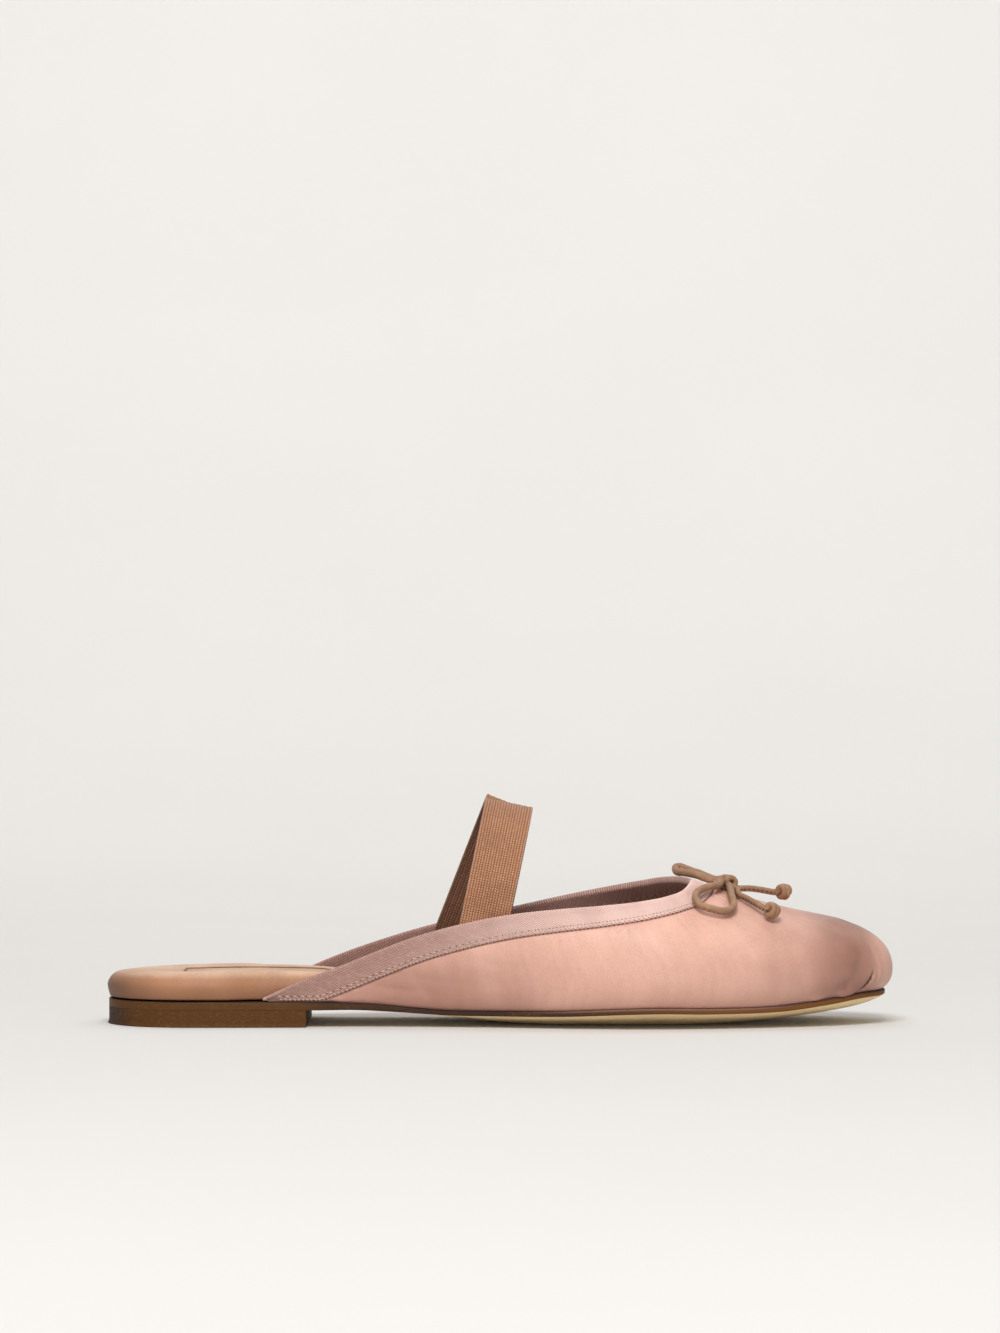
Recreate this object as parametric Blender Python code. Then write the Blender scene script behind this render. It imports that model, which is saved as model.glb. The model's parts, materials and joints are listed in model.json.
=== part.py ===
"""A ballet mule: a backless satin slipper with a ribbon-bound top line, an elastic strap over
the instep and a small leather-cord bow. It is a right shoe, European size 38.

Every shape is worked out in the last's own frame, in millimetres: X runs from the back of the
heel to the front of the toe, -Y is the outer (lateral) side, +Y the inner (medial) side, and
Z = 0 is the floor. The whole shoe hangs from one empty that brings its middle to the origin.
"""

import math

import bmesh
import bpy
import numpy as np

MM = 0.001

# ---------------------------------------------------------------- driving sizes, in millimetres
SHOE_LENGTH = 250.0  # back of the heel to the front of the satin toe
SHOE_MIDDLE_X = 125.0  # goes to the origin
SOLE_BACK_X = 0.8
SOLE_TIP_X = 247.5
HEEL_ROUND_X = 27.8  # the heel's round end starts here
HEEL_SQUARENESS = 2.1  # exponent of the heel's round end, 2 is a true circle
TOE_ROUND_X = 222.0  # the toe's round end starts here
TOE_SQUARENESS = 2.5
SPINE_ROUND_X = 226.0  # the vamp's top starts to fall over the toes here
SPINE_SQUARENESS = 2.7

HEEL_BREAST_X = 64.2  # front face of the heel lift
HEEL_HEIGHT = 5.05
HEEL_FLARE = 0.4  # spread of the lift's foot
HEEL_FLARE_HEIGHT = 1.2
SOLE_SHOULDER = 3.0  # width of the level rim round the outsole's top
SOLE_EDGE_ROUND = 0.6
CUSHION_ROUND = 0.6  # radius of the insole's top edge, as a share of its thickness
CUSHION_FOOT = 0.15  # how far the insole's foot stands in, as a share of its bulge
CUSHION_STEP = (38.0, 42.4, 46.8, 51.2)  # where the insole narrows to go inside the upper
BED_SAG = 0.12  # added under the insole, where the outsole dips between its rings

GAP = 0.3  # between touching pieces
LIP = 0.8  # how far the outsole stands out beyond the upper's foot
WALL = 1.4  # satin, backing and lining together
SKIVED_WALL = 0.8  # the wall where the ribbon folds over it
SKIVE_OUT = 0.4  # step of the wall's outer face under the ribbon
LOWER_LOBE_DEG = 66.0  # how far the upper's belly turns in under itself

COLLAR_BACK_X = 52.0  # rear end of the top line on both sides
THROAT_X = 186.4  # front of the opening
RIBBON_WIDTH = 7.25  # each leg of the folded ribbon
RIBBON_THICK = 0.45
RIBBON_PROUD = 0.4  # outer face of the ribbon above the satin

STRAP_WIDTH = 15.4
STRAP_THICK = 1.2
STRAP_TUCK = 10.0  # length of each end inside the collar
STRAP_INSET = 3.35  # strap's middle plane behind the satin's face, inside the shoe
STRAP_NEAR_BASE = (120.65, 35.0)  # x, z where the middle line passes the lateral collar
STRAP_FAR_BASE = (114.6, 35.0)
STRAP_CROWN = (127.85, 1.0, 69.2)  # x, y, z of the middle line's top

CORD_RADIUS = 0.95
CORD_STEP = 4.0 * CORD_RADIUS  # between the points of a cord's line
# The bow's knots: x, y and the height of the middle over the satin
BOW_KNOT = (196.9, 3.2, 2.7)
BOW_KNOT_SIZE = (7.8, 6.2, 4.4)
END_KNOT_NEAR = (210.4, -20.4, 3.6)
END_KNOT_FAR = (215.6, 8.5, 4.7)
END_KNOT_SIZE = (5.3, 5.3, 5.3)


class Table:
    """Rows of sizes along the shoe, read as smooth curves. The first column is x."""

    def __init__(self, columns, *rows):
        self.columns = columns
        self.rows = np.array(rows, float)

    def __call__(self, column, x):
        """Cubic Hermite through the rows, its tangents held so that it never overshoots."""
        xs = self.rows[:, 0]
        ys = self.rows[:, self.columns.index(column)]
        steps = np.diff(xs)
        slopes = np.diff(ys) / steps
        inner = (slopes[:-1] * steps[1:] + slopes[1:] * steps[:-1]) / (steps[:-1] + steps[1:])
        limit = 3.0 * np.minimum(np.abs(slopes[:-1]), np.abs(slopes[1:]))
        inner = np.sign(inner) * np.minimum(np.abs(inner), limit)
        inner[slopes[:-1] * slopes[1:] <= 0.0] = 0.0
        tangents = np.concatenate([slopes[:1], inner, slopes[-1:]])
        x = np.clip(np.asarray(x, float), xs[0], xs[-1])
        i = np.clip(np.searchsorted(xs, x) - 1, 0, len(steps) - 1)
        t = (x - xs[i]) / steps[i]
        a = (1.0 + 2.0 * t) * (1.0 - t) ** 2
        b = t**2 * (3.0 - 2.0 * t)
        c = t * (1.0 - t) ** 2 * steps[i]
        d = t**2 * (t - 1.0) * steps[i]
        return a * ys[i] + b * ys[i + 1] + c * tangents[i] + d * tangents[i + 1]


# Plan of the sole: half widths on each side of a centre line that bends inwards at the toe.
PLAN = Table(
    ("x", "lateral", "medial", "centre"),
    (0, 26.5, 26.5, 0.0),
    (30, 27.0, 27.0, 0.0),
    (60, 26.3, 25.2, 0.0),
    (90, 25.7, 22.8, 0.0),
    (120, 29.0, 25.0, 0.0),
    (150, 35.8, 32.2, 0.0),
    (168, 38.2, 36.8, 0.0),
    (182, 37.7, 37.8, 0.1),
    (200, 34.4, 36.2, 0.5),
    (222, 28.3, 29.9, 1.8),
    (235, 24.4, 25.1, 2.4),
    (250, 20.0, 21.0, 3.0),
)

# Side of the sole: top and bottom of its edge, underside along the middle, thickness there.
SOLE = Table(
    ("x", "edge_top", "edge_bottom", "middle", "thick"),
    (0, 8.0, 5.35, 5.35, 2.65),
    (66, 8.0, 5.35, 5.35, 2.65),
    (78, 7.6, 5.45, 5.35, 2.6),
    (89, 6.9, 5.0, 5.1, 2.5),
    (99, 6.0, 4.4, 4.0, 2.4),
    (110, 5.3, 3.8, 2.5, 2.4),
    (124, 5.3, 3.7, 0.85, 2.4),
    (140, 5.5, 3.8, 0.1, 2.3),
    (148, 5.75, 4.0, 0.0, 2.3),
    (166, 6.5, 4.75, 0.0, 2.2),
    (176, 6.7, 4.95, 0.0, 2.2),
    (190, 6.5, 4.75, 0.3, 2.1),
    (212, 6.9, 5.1, 1.8, 2.0),
    (228, 8.8, 6.9, 3.8, 1.9),
    (241, 10.4, 8.7, 6.4, 1.8),
    (248, 10.6, 8.95, 8.95, 1.7),
)

# Sections of the upper: belly beyond the sole's edge, height of the widest line above the
# foot of the wall, height of the spine, shift of the spine inwards, exponent of the section.
# Behind the throat the spine is only the ridge that both walls lean towards.
UPPER = Table(
    ("x", "belly", "belt", "spine", "shift", "power"),
    (50, -0.8, 0.05, 92.0, 2.0, 2.1),
    (66, -0.6, 0.3, 84.0, 2.5, 2.1),
    (80, 0.0, 1.8, 76.0, 3.0, 2.1),
    (95, 0.6, 4.0, 69.0, 3.5, 2.1),
    (112, 1.2, 6.0, 62.0, 4.0, 2.1),
    (130, 1.7, 7.5, 56.5, 4.5, 2.1),
    (150, 2.1, 8.3, 53.5, 5.0, 2.05),
    (170, 2.5, 8.5, 49.8, 5.2, 2.0),
    (178, 2.6, 8.5, 47.9, 5.2, 1.95),
    (183, 2.6, 8.4, 46.2, 5.1, 1.95),
    (186.4, 2.6, 8.4, 44.7, 5.0, 1.95),
    (192, 2.6, 8.3, 43.1, 4.8, 2.0),
    (205, 2.6, 8.0, 39.2, 4.2, 2.1),
    (215, 2.5, 7.7, 36.5, 3.8, 2.25),
    (225, 2.5, 7.2, 34.3, 3.3, 2.4),
    (238, 2.5, 6.5, 31.8, 2.7, 2.5),
    (250, 2.5, 5.8, 29.4, 2.2, 2.5),
)

# Height of the upper's cut edge along the opening, on each side.
COLLAR = Table(
    ("x", "lateral", "medial"),
    (52, 9.0, 9.2),
    (62, 13.6, 14.6),
    (74, 18.1, 19.8),
    (86, 23.0, 24.1),
    (98, 27.6, 27.8),
    (112, 31.6, 31.4),
    (128, 34.9, 34.7),
    (144, 36.8, 38.2),
    (158, 38.0, 41.1),
    (170, 39.3, 43.4),
    (178, 40.7, 44.9),
    (183, 42.3, 45.2),
    (186.4, 44.7, 44.7),
)

# How far along the collar each column of the upper starts, for its place along the sole.
MATCH = Table(
    ("sole", "collar"),
    (0.0, 0.0),
    (0.1, 0.125),
    (0.2, 0.265),
    (0.3, 0.4),
    (0.45, 0.59),
    (0.6, 0.75),
    (0.75, 0.87),
    (0.9, 0.955),
    (1.0, 1.0),
)

# The insole: how far its edge stands inside the sole's edge, its thickness, its edge bulge.
INSOLE = Table(
    ("x", "inset", "thick", "bulge"),
    (0, 0.3, 8.0, 0.9),
    (20, 0.3, 8.5, 0.9),
    (38, 0.35, 9.0, 0.85),
    (51.2, 3.3, 9.2, 0.0),
    (70, 3.3, 8.8, 0.0),
    (90, 3.1, 7.2, 0.0),
    (110, 2.9, 5.4, 0.0),
    (130, 2.8, 4.1, 0.0),
    (150, 2.8, 3.5, 0.0),
    (250, 2.8, 3.4, 0.0),
)


# The bow's cords as they lie over the satin, each read along its own length from the knot.
NEAR_LOOP = Table(
    ("place", "x", "y", "over"),
    (0.0, 195.2, -0.3, 2.3),
    (0.12, 193.9, -8.0, 2.4),
    (0.24, 190.4, -14.4, 2.9),
    (0.36, 186.9, -21.2, 3.5),
    (0.41, 186.1, -24.1, 3.4),
    (0.455, 187.3, -26.4, 3.3),
    (0.51, 190.2, -27.2, 3.2),
    (0.58, 194.8, -26.4, 2.7),
    (0.64, 197.5, -23.6, 2.4),
    (0.7, 198.4, -19.8, 2.3),
    (0.8, 198.0, -13.2, 2.2),
    (1.0, 197.9, -0.35, 2.2),
)
FAR_LOOP = Table(
    ("place", "x", "y", "over"),
    (0.0, 192.7, 4.9, 1.85),
    (0.08, 190.4, 7.0, 2.0),
    (0.17, 187.6, 10.0, 2.4),
    (0.34, 182.8, 16.0, 2.2),
    (0.4, 181.6, 18.4, 3.0),
    (0.455, 181.5, 20.6, 4.7),
    (0.5, 182.5, 22.1, 6.1),
    (0.55, 184.3, 22.2, 6.4),
    (0.67, 188.1, 18.7, 5.0),
    (0.82, 191.4, 12.8, 3.0),
    (1.0, 195.3, 7.0, 2.3),
)
NEAR_END = Table(
    ("place", "x", "y", "over"),
    (0.0, 200.4, 0.1, 1.7),
    (0.38, 200.6, -8.3, 1.5),
    (0.52, 202.4, -10.8, 1.8),
    (0.78, 205.2, -14.8, 2.2),
    (1.0, 207.95, -18.7, 2.8),
)
FAR_END = Table(
    ("place", "x", "y", "over"),
    (0.0, 201.1, 4.5, 1.8),
    (0.2, 203.3, 5.4, 2.5),
    (0.5, 206.5, 6.5, 3.2),
    (1.0, 212.65, 8.1, 3.8),
)


# ------------------------------------------------------------------------------ the last's form
def end_round(x, start, tip, squareness):
    """1 up to where a round end starts, then a superellipse's quarter down to 0 at its tip."""
    u = np.clip((np.asarray(x, float) - start) / (tip - start), 0.0, 1.0)
    return (1.0 - u**squareness) ** (1.0 / squareness)


def side_name(sign):
    return "lateral" if sign < 0 else "medial"


def sole_width(x, sign):
    """Half width of the sole's plan at x, on the side of sign."""
    heel = end_round(x, HEEL_ROUND_X, SOLE_BACK_X, HEEL_SQUARENESS)
    toe = end_round(x, TOE_ROUND_X, SOLE_TIP_X, TOE_SQUARENESS)
    return PLAN(side_name(sign), x) * heel * toe


def belly_width(x, sign):
    """Half width of the upper where it is widest."""
    toe = end_round(x, TOE_ROUND_X, SHOE_LENGTH, TOE_SQUARENESS)
    return (PLAN(side_name(sign), x) + UPPER("belly", x)) * toe


def foot_width(x, sign):
    """Half width of the upper where it meets the sole."""
    toe = end_round(x, TOE_ROUND_X, SOLE_TIP_X - LIP, TOE_SQUARENESS)
    return (PLAN(side_name(sign), x) - LIP) * toe


def spine_shift(x):
    return UPPER("shift", x) * end_round(x, TOE_ROUND_X, SHOE_LENGTH, TOE_SQUARENESS)


def foot_height(x):
    return SOLE("edge_top", x) + GAP


def belt_height(x):
    return foot_height(x) + UPPER("belt", x)


def edge_share(x, y):
    """0 on the sole's centre line, 1 at its edge."""
    across = y - PLAN("centre", x)
    width = np.where(across < 0.0, sole_width(x, -1), sole_width(x, 1))
    return np.clip(np.abs(across) / np.maximum(width, 1e-6), 0.0, 1.0)


def sole_lift(share):
    """The sole is flat across its middle third and lifts towards its edge."""
    return np.clip((share - 0.3) / 0.7, 0.0, 1.0) ** 1.7


def sole_bottom(x, y):
    middle = SOLE("middle", x)
    return middle + (SOLE("edge_bottom", x) - middle) * sole_lift(edge_share(x, y))


def sole_top(x, y):
    middle = SOLE("middle", x) + SOLE("thick", x)
    return middle + (SOLE("edge_top", x) - middle) * sole_lift(edge_share(x, y))


def section(x, y):
    """The upper's section at x: its reach from the spine to the belt, its height over the
    belt, the distance of y from the spine, and its exponent."""
    shift = spine_shift(x)
    across = y - PLAN("centre", x) - shift
    reach = np.where(across < 0.0, belly_width(x, -1) + shift, belly_width(x, 1) - shift)
    height = UPPER("spine", x) - belt_height(x)
    height = height * end_round(x, SPINE_ROUND_X, SHOE_LENGTH, SPINE_SQUARENESS)
    return np.maximum(reach, 1e-6), np.maximum(height, 1e-6), across, UPPER("power", x)


def vamp_height(x, y):
    """Height of the satin's face over a point of the plan, above the belt."""
    reach, height, across, power = section(x, y)
    share = np.clip(np.abs(across) / reach, 0.0, 1.0)
    return belt_height(x) + height * (1.0 - share**power) ** (1.0 / power)


def wall_y(x, z, sign):
    """Where the satin's face stands at a height above the belt."""
    reach, height, _, power = section(x, sign * 1000.0)
    share = np.clip((z - belt_height(x)) / height, 0.0, 1.0)
    out = reach * (1.0 - share**power) ** (1.0 / power)
    return PLAN("centre", x) + spine_shift(x) + sign * out


def off_surface(points):
    """0 on the satin's face above the belt, positive outside."""
    x, y, z = np.moveaxis(points, -1, 0)
    reach, height, across, power = section(x, y)
    up = np.abs(z - belt_height(x)) / height
    return (np.abs(across) / reach) ** power + up**power - 1.0


def gradient(points, step=0.02):
    out = np.empty_like(points)
    for axis in range(3):
        move = np.zeros(3)
        move[axis] = step
        out[..., axis] = (off_surface(points + move) - off_surface(points - move)) / (2.0 * step)
    return out


def unit(vectors):
    return vectors / np.maximum(np.linalg.norm(vectors, axis=-1, keepdims=True), 1e-12)


def lengths_along(points):
    steps = np.linalg.norm(np.diff(points, axis=-2), axis=-1)
    return np.concatenate([np.zeros(steps.shape[:-1] + (1,)), np.cumsum(steps, axis=-1)], axis=-1)


def two_sided(point_at, back_x, tip_x, count=600):
    """A curve that runs forward along the lateral side to the tip and back along the medial
    side, read at places from -1 over 0 at the tip to 1, each side by its own length."""
    w = np.linspace(1.0, 0.0, count)
    x = tip_x - (tip_x - back_x) * w**2
    sides = {sign: point_at(x, sign) for sign in (-1, 1)}

    def read(places):
        places = np.asarray(places, float)
        out = np.empty(places.shape + (3,))
        for sign, points in sides.items():
            along = lengths_along(points)
            wanted = (1.0 - np.abs(places)) * along[-1]
            chosen = places < 0.0 if sign < 0 else places >= 0.0
            for axis in range(3):
                out[chosen, axis] = np.interp(wanted[chosen], along, points[:, axis])
        return out

    return read


def collar_point(x, sign):
    z = COLLAR(side_name(sign), x)
    return np.stack([x, wall_y(x, z, sign), z], axis=-1)


def belt_point(x, sign):
    return np.stack([x, PLAN("centre", x) + sign * belly_width(x, sign), belt_height(x)], axis=-1)


def foot_point(x, sign):
    return np.stack([x, PLAN("centre", x) + sign * foot_width(x, sign), foot_height(x)], axis=-1)


collar_line = two_sided(collar_point, COLLAR_BACK_X, THROAT_X)
belt_line = two_sided(belt_point, COLLAR_BACK_X, SHOE_LENGTH)
foot_line = two_sided(foot_point, COLLAR_BACK_X, SOLE_TIP_X - LIP)


def collar_place(places):
    """The place along the collar that belongs to a place along the sole."""
    return np.sign(places) * (1.0 - MATCH("collar", 1.0 - np.abs(places)))


def step_down(points, along, step):
    """One step over the satin's face, square to the collar and away from the opening."""
    down = unit(np.cross(along, gradient(points)))
    moved = points + step * down
    for _ in range(2):
        slope = gradient(moved)
        far = off_surface(moved) / np.sum(slope**2, axis=-1)
        moved = moved - far[..., None] * slope
    return moved, down


def curve_between(start, way, end, count=61):
    """Points of a curve in two coordinates that leaves its start along way, without its ends."""
    w = np.sin(np.linspace(0.0, math.pi / 2.0, count))[1:-1, None, None]
    gap = np.linalg.norm(end - start, axis=-1, keepdims=True)
    bend = start + 0.4 * gap * unit(way)
    return (1.0 - w) ** 2 * start + 2.0 * w * (1.0 - w) * bend + w**2 * end


STEEP_WALL_X = 172.0  # behind here the columns are laid out down the wall, ahead over the vamp
MARCH_STEPS = 16
MARCH_LENGTH = RIBBON_WIDTH + 0.75


def trace(places):
    """The upper's columns: from the collar square down past the ribbon, on to the belt, round
    the belly and in to the sole. Each is a dense line of points, with the way it starts."""
    start = collar_line(collar_place(places))
    nudge = 1e-3
    along = collar_line(collar_place(places + nudge)) - collar_line(collar_place(places - nudge))
    along = unit(along)
    points = [start]
    first = None
    for _ in range(MARCH_STEPS):
        moved, down = step_down(points[-1], along, MARCH_LENGTH / MARCH_STEPS)
        first = down if first is None else first
        points.append(moved)
    belt, foot = belt_line(places), foot_line(places)
    over_vamp = curve_between(points[-1][:, :2], down[:, :2], belt[:, :2])
    over_vamp = np.dstack([over_vamp, vamp_height(over_vamp[..., 0], over_vamp[..., 1])])
    down_wall = curve_between(points[-1][:, ::2], down[:, ::2], belt[:, ::2])
    sides = np.where(places < 0.0, -1.0, 1.0)
    wall = [wall_y(line[:, 0], line[:, 1], sign) for sign in (-1, 1) for line in down_wall]
    wall = np.where(sides < 0.0, np.array(wall[: len(down_wall)]), np.array(wall[len(down_wall) :]))
    down_wall = np.dstack([down_wall[..., 0], wall, down_wall[..., 1]])
    steep = (belt[:, 0] < STEEP_WALL_X)[:, None]
    points += list(np.where(steep, down_wall, over_vamp))
    points.append(belt)
    last = math.radians(LOWER_LOBE_DEG)
    for turn in np.linspace(0.0, last, 17)[1:]:
        inwards = (1.0 - math.cos(turn)) / (1.0 - math.cos(last))
        plan = belt[:, :2] + (foot - belt)[:, :2] * inwards
        z = belt[:, 2] + (foot - belt)[:, 2] * math.sin(turn) / math.sin(last)
        points.append(np.column_stack([plan, z]))
    return np.stack(points, axis=1), first


def cut_at_foot(lines):
    """Length of each column down to where it first reaches the foot of the wall."""
    along = lengths_along(lines)
    over = lines[..., 2] - foot_height(lines[..., 0])
    below = over <= 1e-6
    hit = np.where(below.any(axis=1), below.argmax(axis=1), lines.shape[1] - 1)
    rows = np.arange(len(lines))
    before = np.maximum(hit - 1, 0)
    drop = over[rows, before] - over[rows, hit]
    share = np.clip(over[rows, before] / np.maximum(drop, 1e-9), 0.0, 1.0)
    return along[rows, before] + share * (along[rows, hit] - along[rows, before])


def read_lines(lines, wanted):
    """Points at the wanted lengths along each column."""
    along = lengths_along(lines)
    out = np.empty(wanted.shape + (3,))
    for column in range(len(lines)):
        for axis in range(3):
            out[column, :, axis] = np.interp(wanted[column], along[column], lines[column, :, axis])
    return out


class Skin:
    """The satin's outer face along a set of columns, with points and normals at any depth
    below the collar. A depth under 0 lies above the collar's edge, in line with the wall."""

    def __init__(self, places):
        self.places = np.asarray(places, float)
        nudge = 2e-3
        self.sets = [trace(self.places + shift) for shift in (-nudge, 0.0, nudge)]
        self.totals = [cut_at_foot(lines) for lines, _ in self.sets]
        self.total = self.totals[1]

    def at(self, depths):
        depths = np.broadcast_to(np.asarray(depths, float), (len(self.places), np.shape(depths)[-1]))
        below = np.clip(depths, 0.0, self.total[:, None])
        near = [
            read_lines(lines, below * (total / self.total)[:, None])
            for (lines, _), total in zip(self.sets, self.totals)
        ]
        small = 0.05
        ahead = read_lines(self.sets[1][0], np.minimum(below + small, self.total[:, None]))
        behind = read_lines(self.sets[1][0], np.maximum(below - small, 0.0))
        normals = unit(np.cross(near[2] - near[0], ahead - behind)) * -1.0
        start = self.sets[1][1][:, None, :]
        points = near[1] + np.minimum(depths, 0.0)[..., None] * start
        return points, normals


# ---------------------------------------------------------------------------- making the meshes
def new_object(name, mesh, material):
    mesh.materials.append(material)
    made = bpy.data.objects.new(name, mesh)
    SHOE.objects.link(made)
    made.parent = LAST
    return made


def new_mesh(name, points, faces, smooth_deg=50.0):
    mesh = bpy.data.meshes.new(name)
    mesh.from_pydata((np.asarray(points) * MM).tolist(), [], faces)
    shell = bmesh.new()
    shell.from_mesh(mesh)
    bmesh.ops.delete(shell, geom=[v for v in shell.verts if not v.link_faces], context="VERTS")
    bmesh.ops.recalc_face_normals(shell, faces=shell.faces)
    shell.to_mesh(mesh)
    shell.free()
    mesh.shade_smooth()
    mesh.set_sharp_from_angle(angle=math.radians(smooth_deg))
    return mesh


def sheet_solid(name, outer, inner, material):
    """A closed solid between two sheets of points, joined round their edges."""
    n, m = outer.shape[:2]
    points = np.concatenate([outer.reshape(-1, 3), inner.reshape(-1, 3)])
    top = np.arange(n * m).reshape(n, m)
    low = top + n * m
    faces = []
    for i in range(n - 1):
        for j in range(m - 1):
            faces.append((top[i, j], top[i, j + 1], top[i + 1, j + 1], top[i + 1, j]))
            faces.append((low[i, j], low[i + 1, j], low[i + 1, j + 1], low[i, j + 1]))
    edge = [(i, 0) for i in range(n)] + [(n - 1, j) for j in range(1, m)]
    edge += [(i, m - 1) for i in range(n - 2, -1, -1)] + [(0, j) for j in range(m - 2, 0, -1)]
    for here, there in zip(edge, edge[1:] + edge[:1]):
        faces.append((top[here], top[there], low[there], low[here]))
    return new_object(name, new_mesh(name, points, faces), material)


AXIS_INSET = 0.42  # how far a face's middle line stays from the face's ends, in half widths


def plan_loop(x, width_at):
    """A closed plan outline through the stations x, back to tip along the lateral side and
    home along the medial side, with its outward normals and its partner on the centre line."""
    lateral = np.stack([x, PLAN("centre", x) - width_at(x, -1)], axis=-1)
    medial = np.stack([x, PLAN("centre", x) + width_at(x, 1)], axis=-1)
    loop = np.concatenate([lateral, medial[-2:0:-1]])
    run = np.roll(loop, -1, axis=0) - np.roll(loop, 1, axis=0)
    normals = unit(np.stack([run[:, 1], -run[:, 0]], axis=-1))
    share = (loop[:, 0] - x[0]) / (x[-1] - x[0])
    end_reach = AXIS_INSET * 0.5 * (width_at(HEEL_ROUND_X, -1) + width_at(HEEL_ROUND_X, 1))
    axis_x = x[0] + end_reach + share * (x[-1] - x[0] - 2.0 * end_reach)
    axis = np.stack([axis_x, PLAN("centre", axis_x)], axis=-1)
    return loop, normals, axis


def end_spaced(first, last, count):
    """Stations that crowd towards both round ends."""
    turn = np.linspace(0.0, math.pi, count)
    return 0.5 * (first + last) - 0.5 * (last - first) * np.cos(turn)


def ring_solid(name, rings, material):
    """A closed solid from rings that start and end folded flat on a centre line."""
    n = len(rings[0])
    half = n // 2
    points = [np.asarray(ring) for ring in rings]
    faces = []
    index = [np.arange(n) + n * k for k in range(len(rings))]
    for ends in (index[0], index[-1]):
        for i in range(1, half):
            ends[n - i] = ends[i]
    for upper, lower in zip(index[:-1], index[1:]):
        for i in range(n):
            j = (i + 1) % n
            face = (upper[i], lower[i], lower[j], upper[j])
            faces.append(tuple(dict.fromkeys(face)))
    mesh = new_mesh(name, np.concatenate(points), faces)
    return new_object(name, mesh, material)


def material_of(name, colour, roughness, metallic=0.0):
    made = bpy.data.materials.new(name)
    made.use_nodes = True
    shader = made.node_tree.nodes["Principled BSDF"]
    shader.inputs["Base Color"].default_value = (*colour, 1.0)
    shader.inputs["Roughness"].default_value = roughness
    shader.inputs["Metallic"].default_value = metallic
    made.diffuse_color = (*colour, 1.0)
    return made


# ------------------------------------------------------------------------------------ the pieces
COLUMNS_A_SIDE = 30
UPPER_COLUMNS = np.concatenate(
    [np.linspace(-1.0, 0.0, COLUMNS_A_SIDE + 1), np.linspace(0.0, 1.0, COLUMNS_A_SIDE + 1)[1:]]
)
RIBBON_ROWS = (0.0, 2.5, 5.0, RIBBON_WIDTH + GAP, RIBBON_WIDTH + 2.0 * GAP)
WALL_ROWS = 11
SHORT_WALL = 1.0  # a wall this little taller than the ribbon has no step


def wall_rows(total):
    """Depths of the upper's rows, down to the foot of the wall. A column that the ribbon
    covers whole has them evenly spaced."""
    end = RIBBON_ROWS[-1]
    rest = np.linspace(0.0, 1.0, WALL_ROWS + 1)[1:]
    tall = np.concatenate([RIBBON_ROWS, end + (total - end) * rest])
    even = np.linspace(0.0, total, len(tall))
    return tall if total > end + SHORT_WALL else even


def make_upper(material):
    skin = Skin(UPPER_COLUMNS)
    depths = np.array([wall_rows(total) for total in skin.total])
    points, normals = skin.at(depths)
    flat = normals[:, -1] * (1.0, 1.0, 0.0)
    normals[:, -1] = unit(flat)
    step = np.clip((skin.total - RIBBON_ROWS[-1] - SHORT_WALL) / 1.5, 0.0, 1.0)[:, None]
    bare = (depths > RIBBON_WIDTH + 1.5 * GAP) * step
    outer = -SKIVE_OUT * (1.0 - bare)
    inner = -(SKIVE_OUT + SKIVED_WALL) * (1.0 - bare) - WALL * bare
    sheet_solid(
        "upper",
        points + outer[..., None] * normals,
        points + inner[..., None] * normals,
        material,
    )


def make_binding(material):
    skin = Skin(UPPER_COLUMNS)
    leg = np.minimum(RIBBON_WIDTH, skin.total - 0.25)
    out = RIBBON_PROUD
    back = out - RIBBON_THICK
    lining = -(SKIVE_OUT + SKIVED_WALL) - GAP
    face = lining - RIBBON_THICK
    top = -(GAP + RIBBON_THICK)
    # share of the leg below the edge, or height over the edge, with the offset from the satin
    outside = ((1.0, out), (0.5, out), (0.0, out), (0.7 * top, 0.3 * out), (top, -0.3),
               (top, -1.4), (0.7 * top, face + 0.15), (0.0, face), (0.5, face), (1.0, face))
    inside = ((1.0, back), (0.5, back), (0.0, back), (-0.8 * GAP, back), (-GAP, -0.45),
              (-GAP, -1.25), (-0.8 * GAP, lining), (0.0, lining), (0.5, lining), (1.0, lining))

    def sheet(rows):
        share = np.array([row[0] for row in rows])
        offset = np.array([row[1] for row in rows])
        depths = np.where(share > 0.0, share * leg[:, None], share)
        points, normals = skin.at(depths)
        return points + offset[:, None] * normals

    sheet_solid("collar_binding", sheet(outside), sheet(inside), material)


BED_SHARES = (0.0, 0.35, 0.68, 1.0)  # rings of a flat face, from its middle line outwards


def towards(loop, axis, share):
    return axis + (loop - axis) * share


def with_height(plan, height):
    return np.column_stack([plan, height(plan[:, 0], plan[:, 1])])


def make_outsole(material):
    x = end_spaced(SOLE_BACK_X, SOLE_TIP_X, 38)
    loop, normals, axis = plan_loop(x, sole_width)
    shoulder = loop - SOLE_SHOULDER * normals
    sole = loop - SOLE_EDGE_ROUND * normals
    rings = [with_height(towards(shoulder, axis, share), sole_top) for share in BED_SHARES]
    rings.append(np.column_stack([loop, SOLE("edge_top", loop[:, 0])]))
    rings.append(np.column_stack([loop, SOLE("edge_bottom", loop[:, 0]) + SOLE_EDGE_ROUND]))
    rings += [with_height(towards(sole, axis, share), sole_bottom) for share in (1.0, 0.66, 0.3, 0.0)]
    ring_solid("outsole", rings, material)


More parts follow.
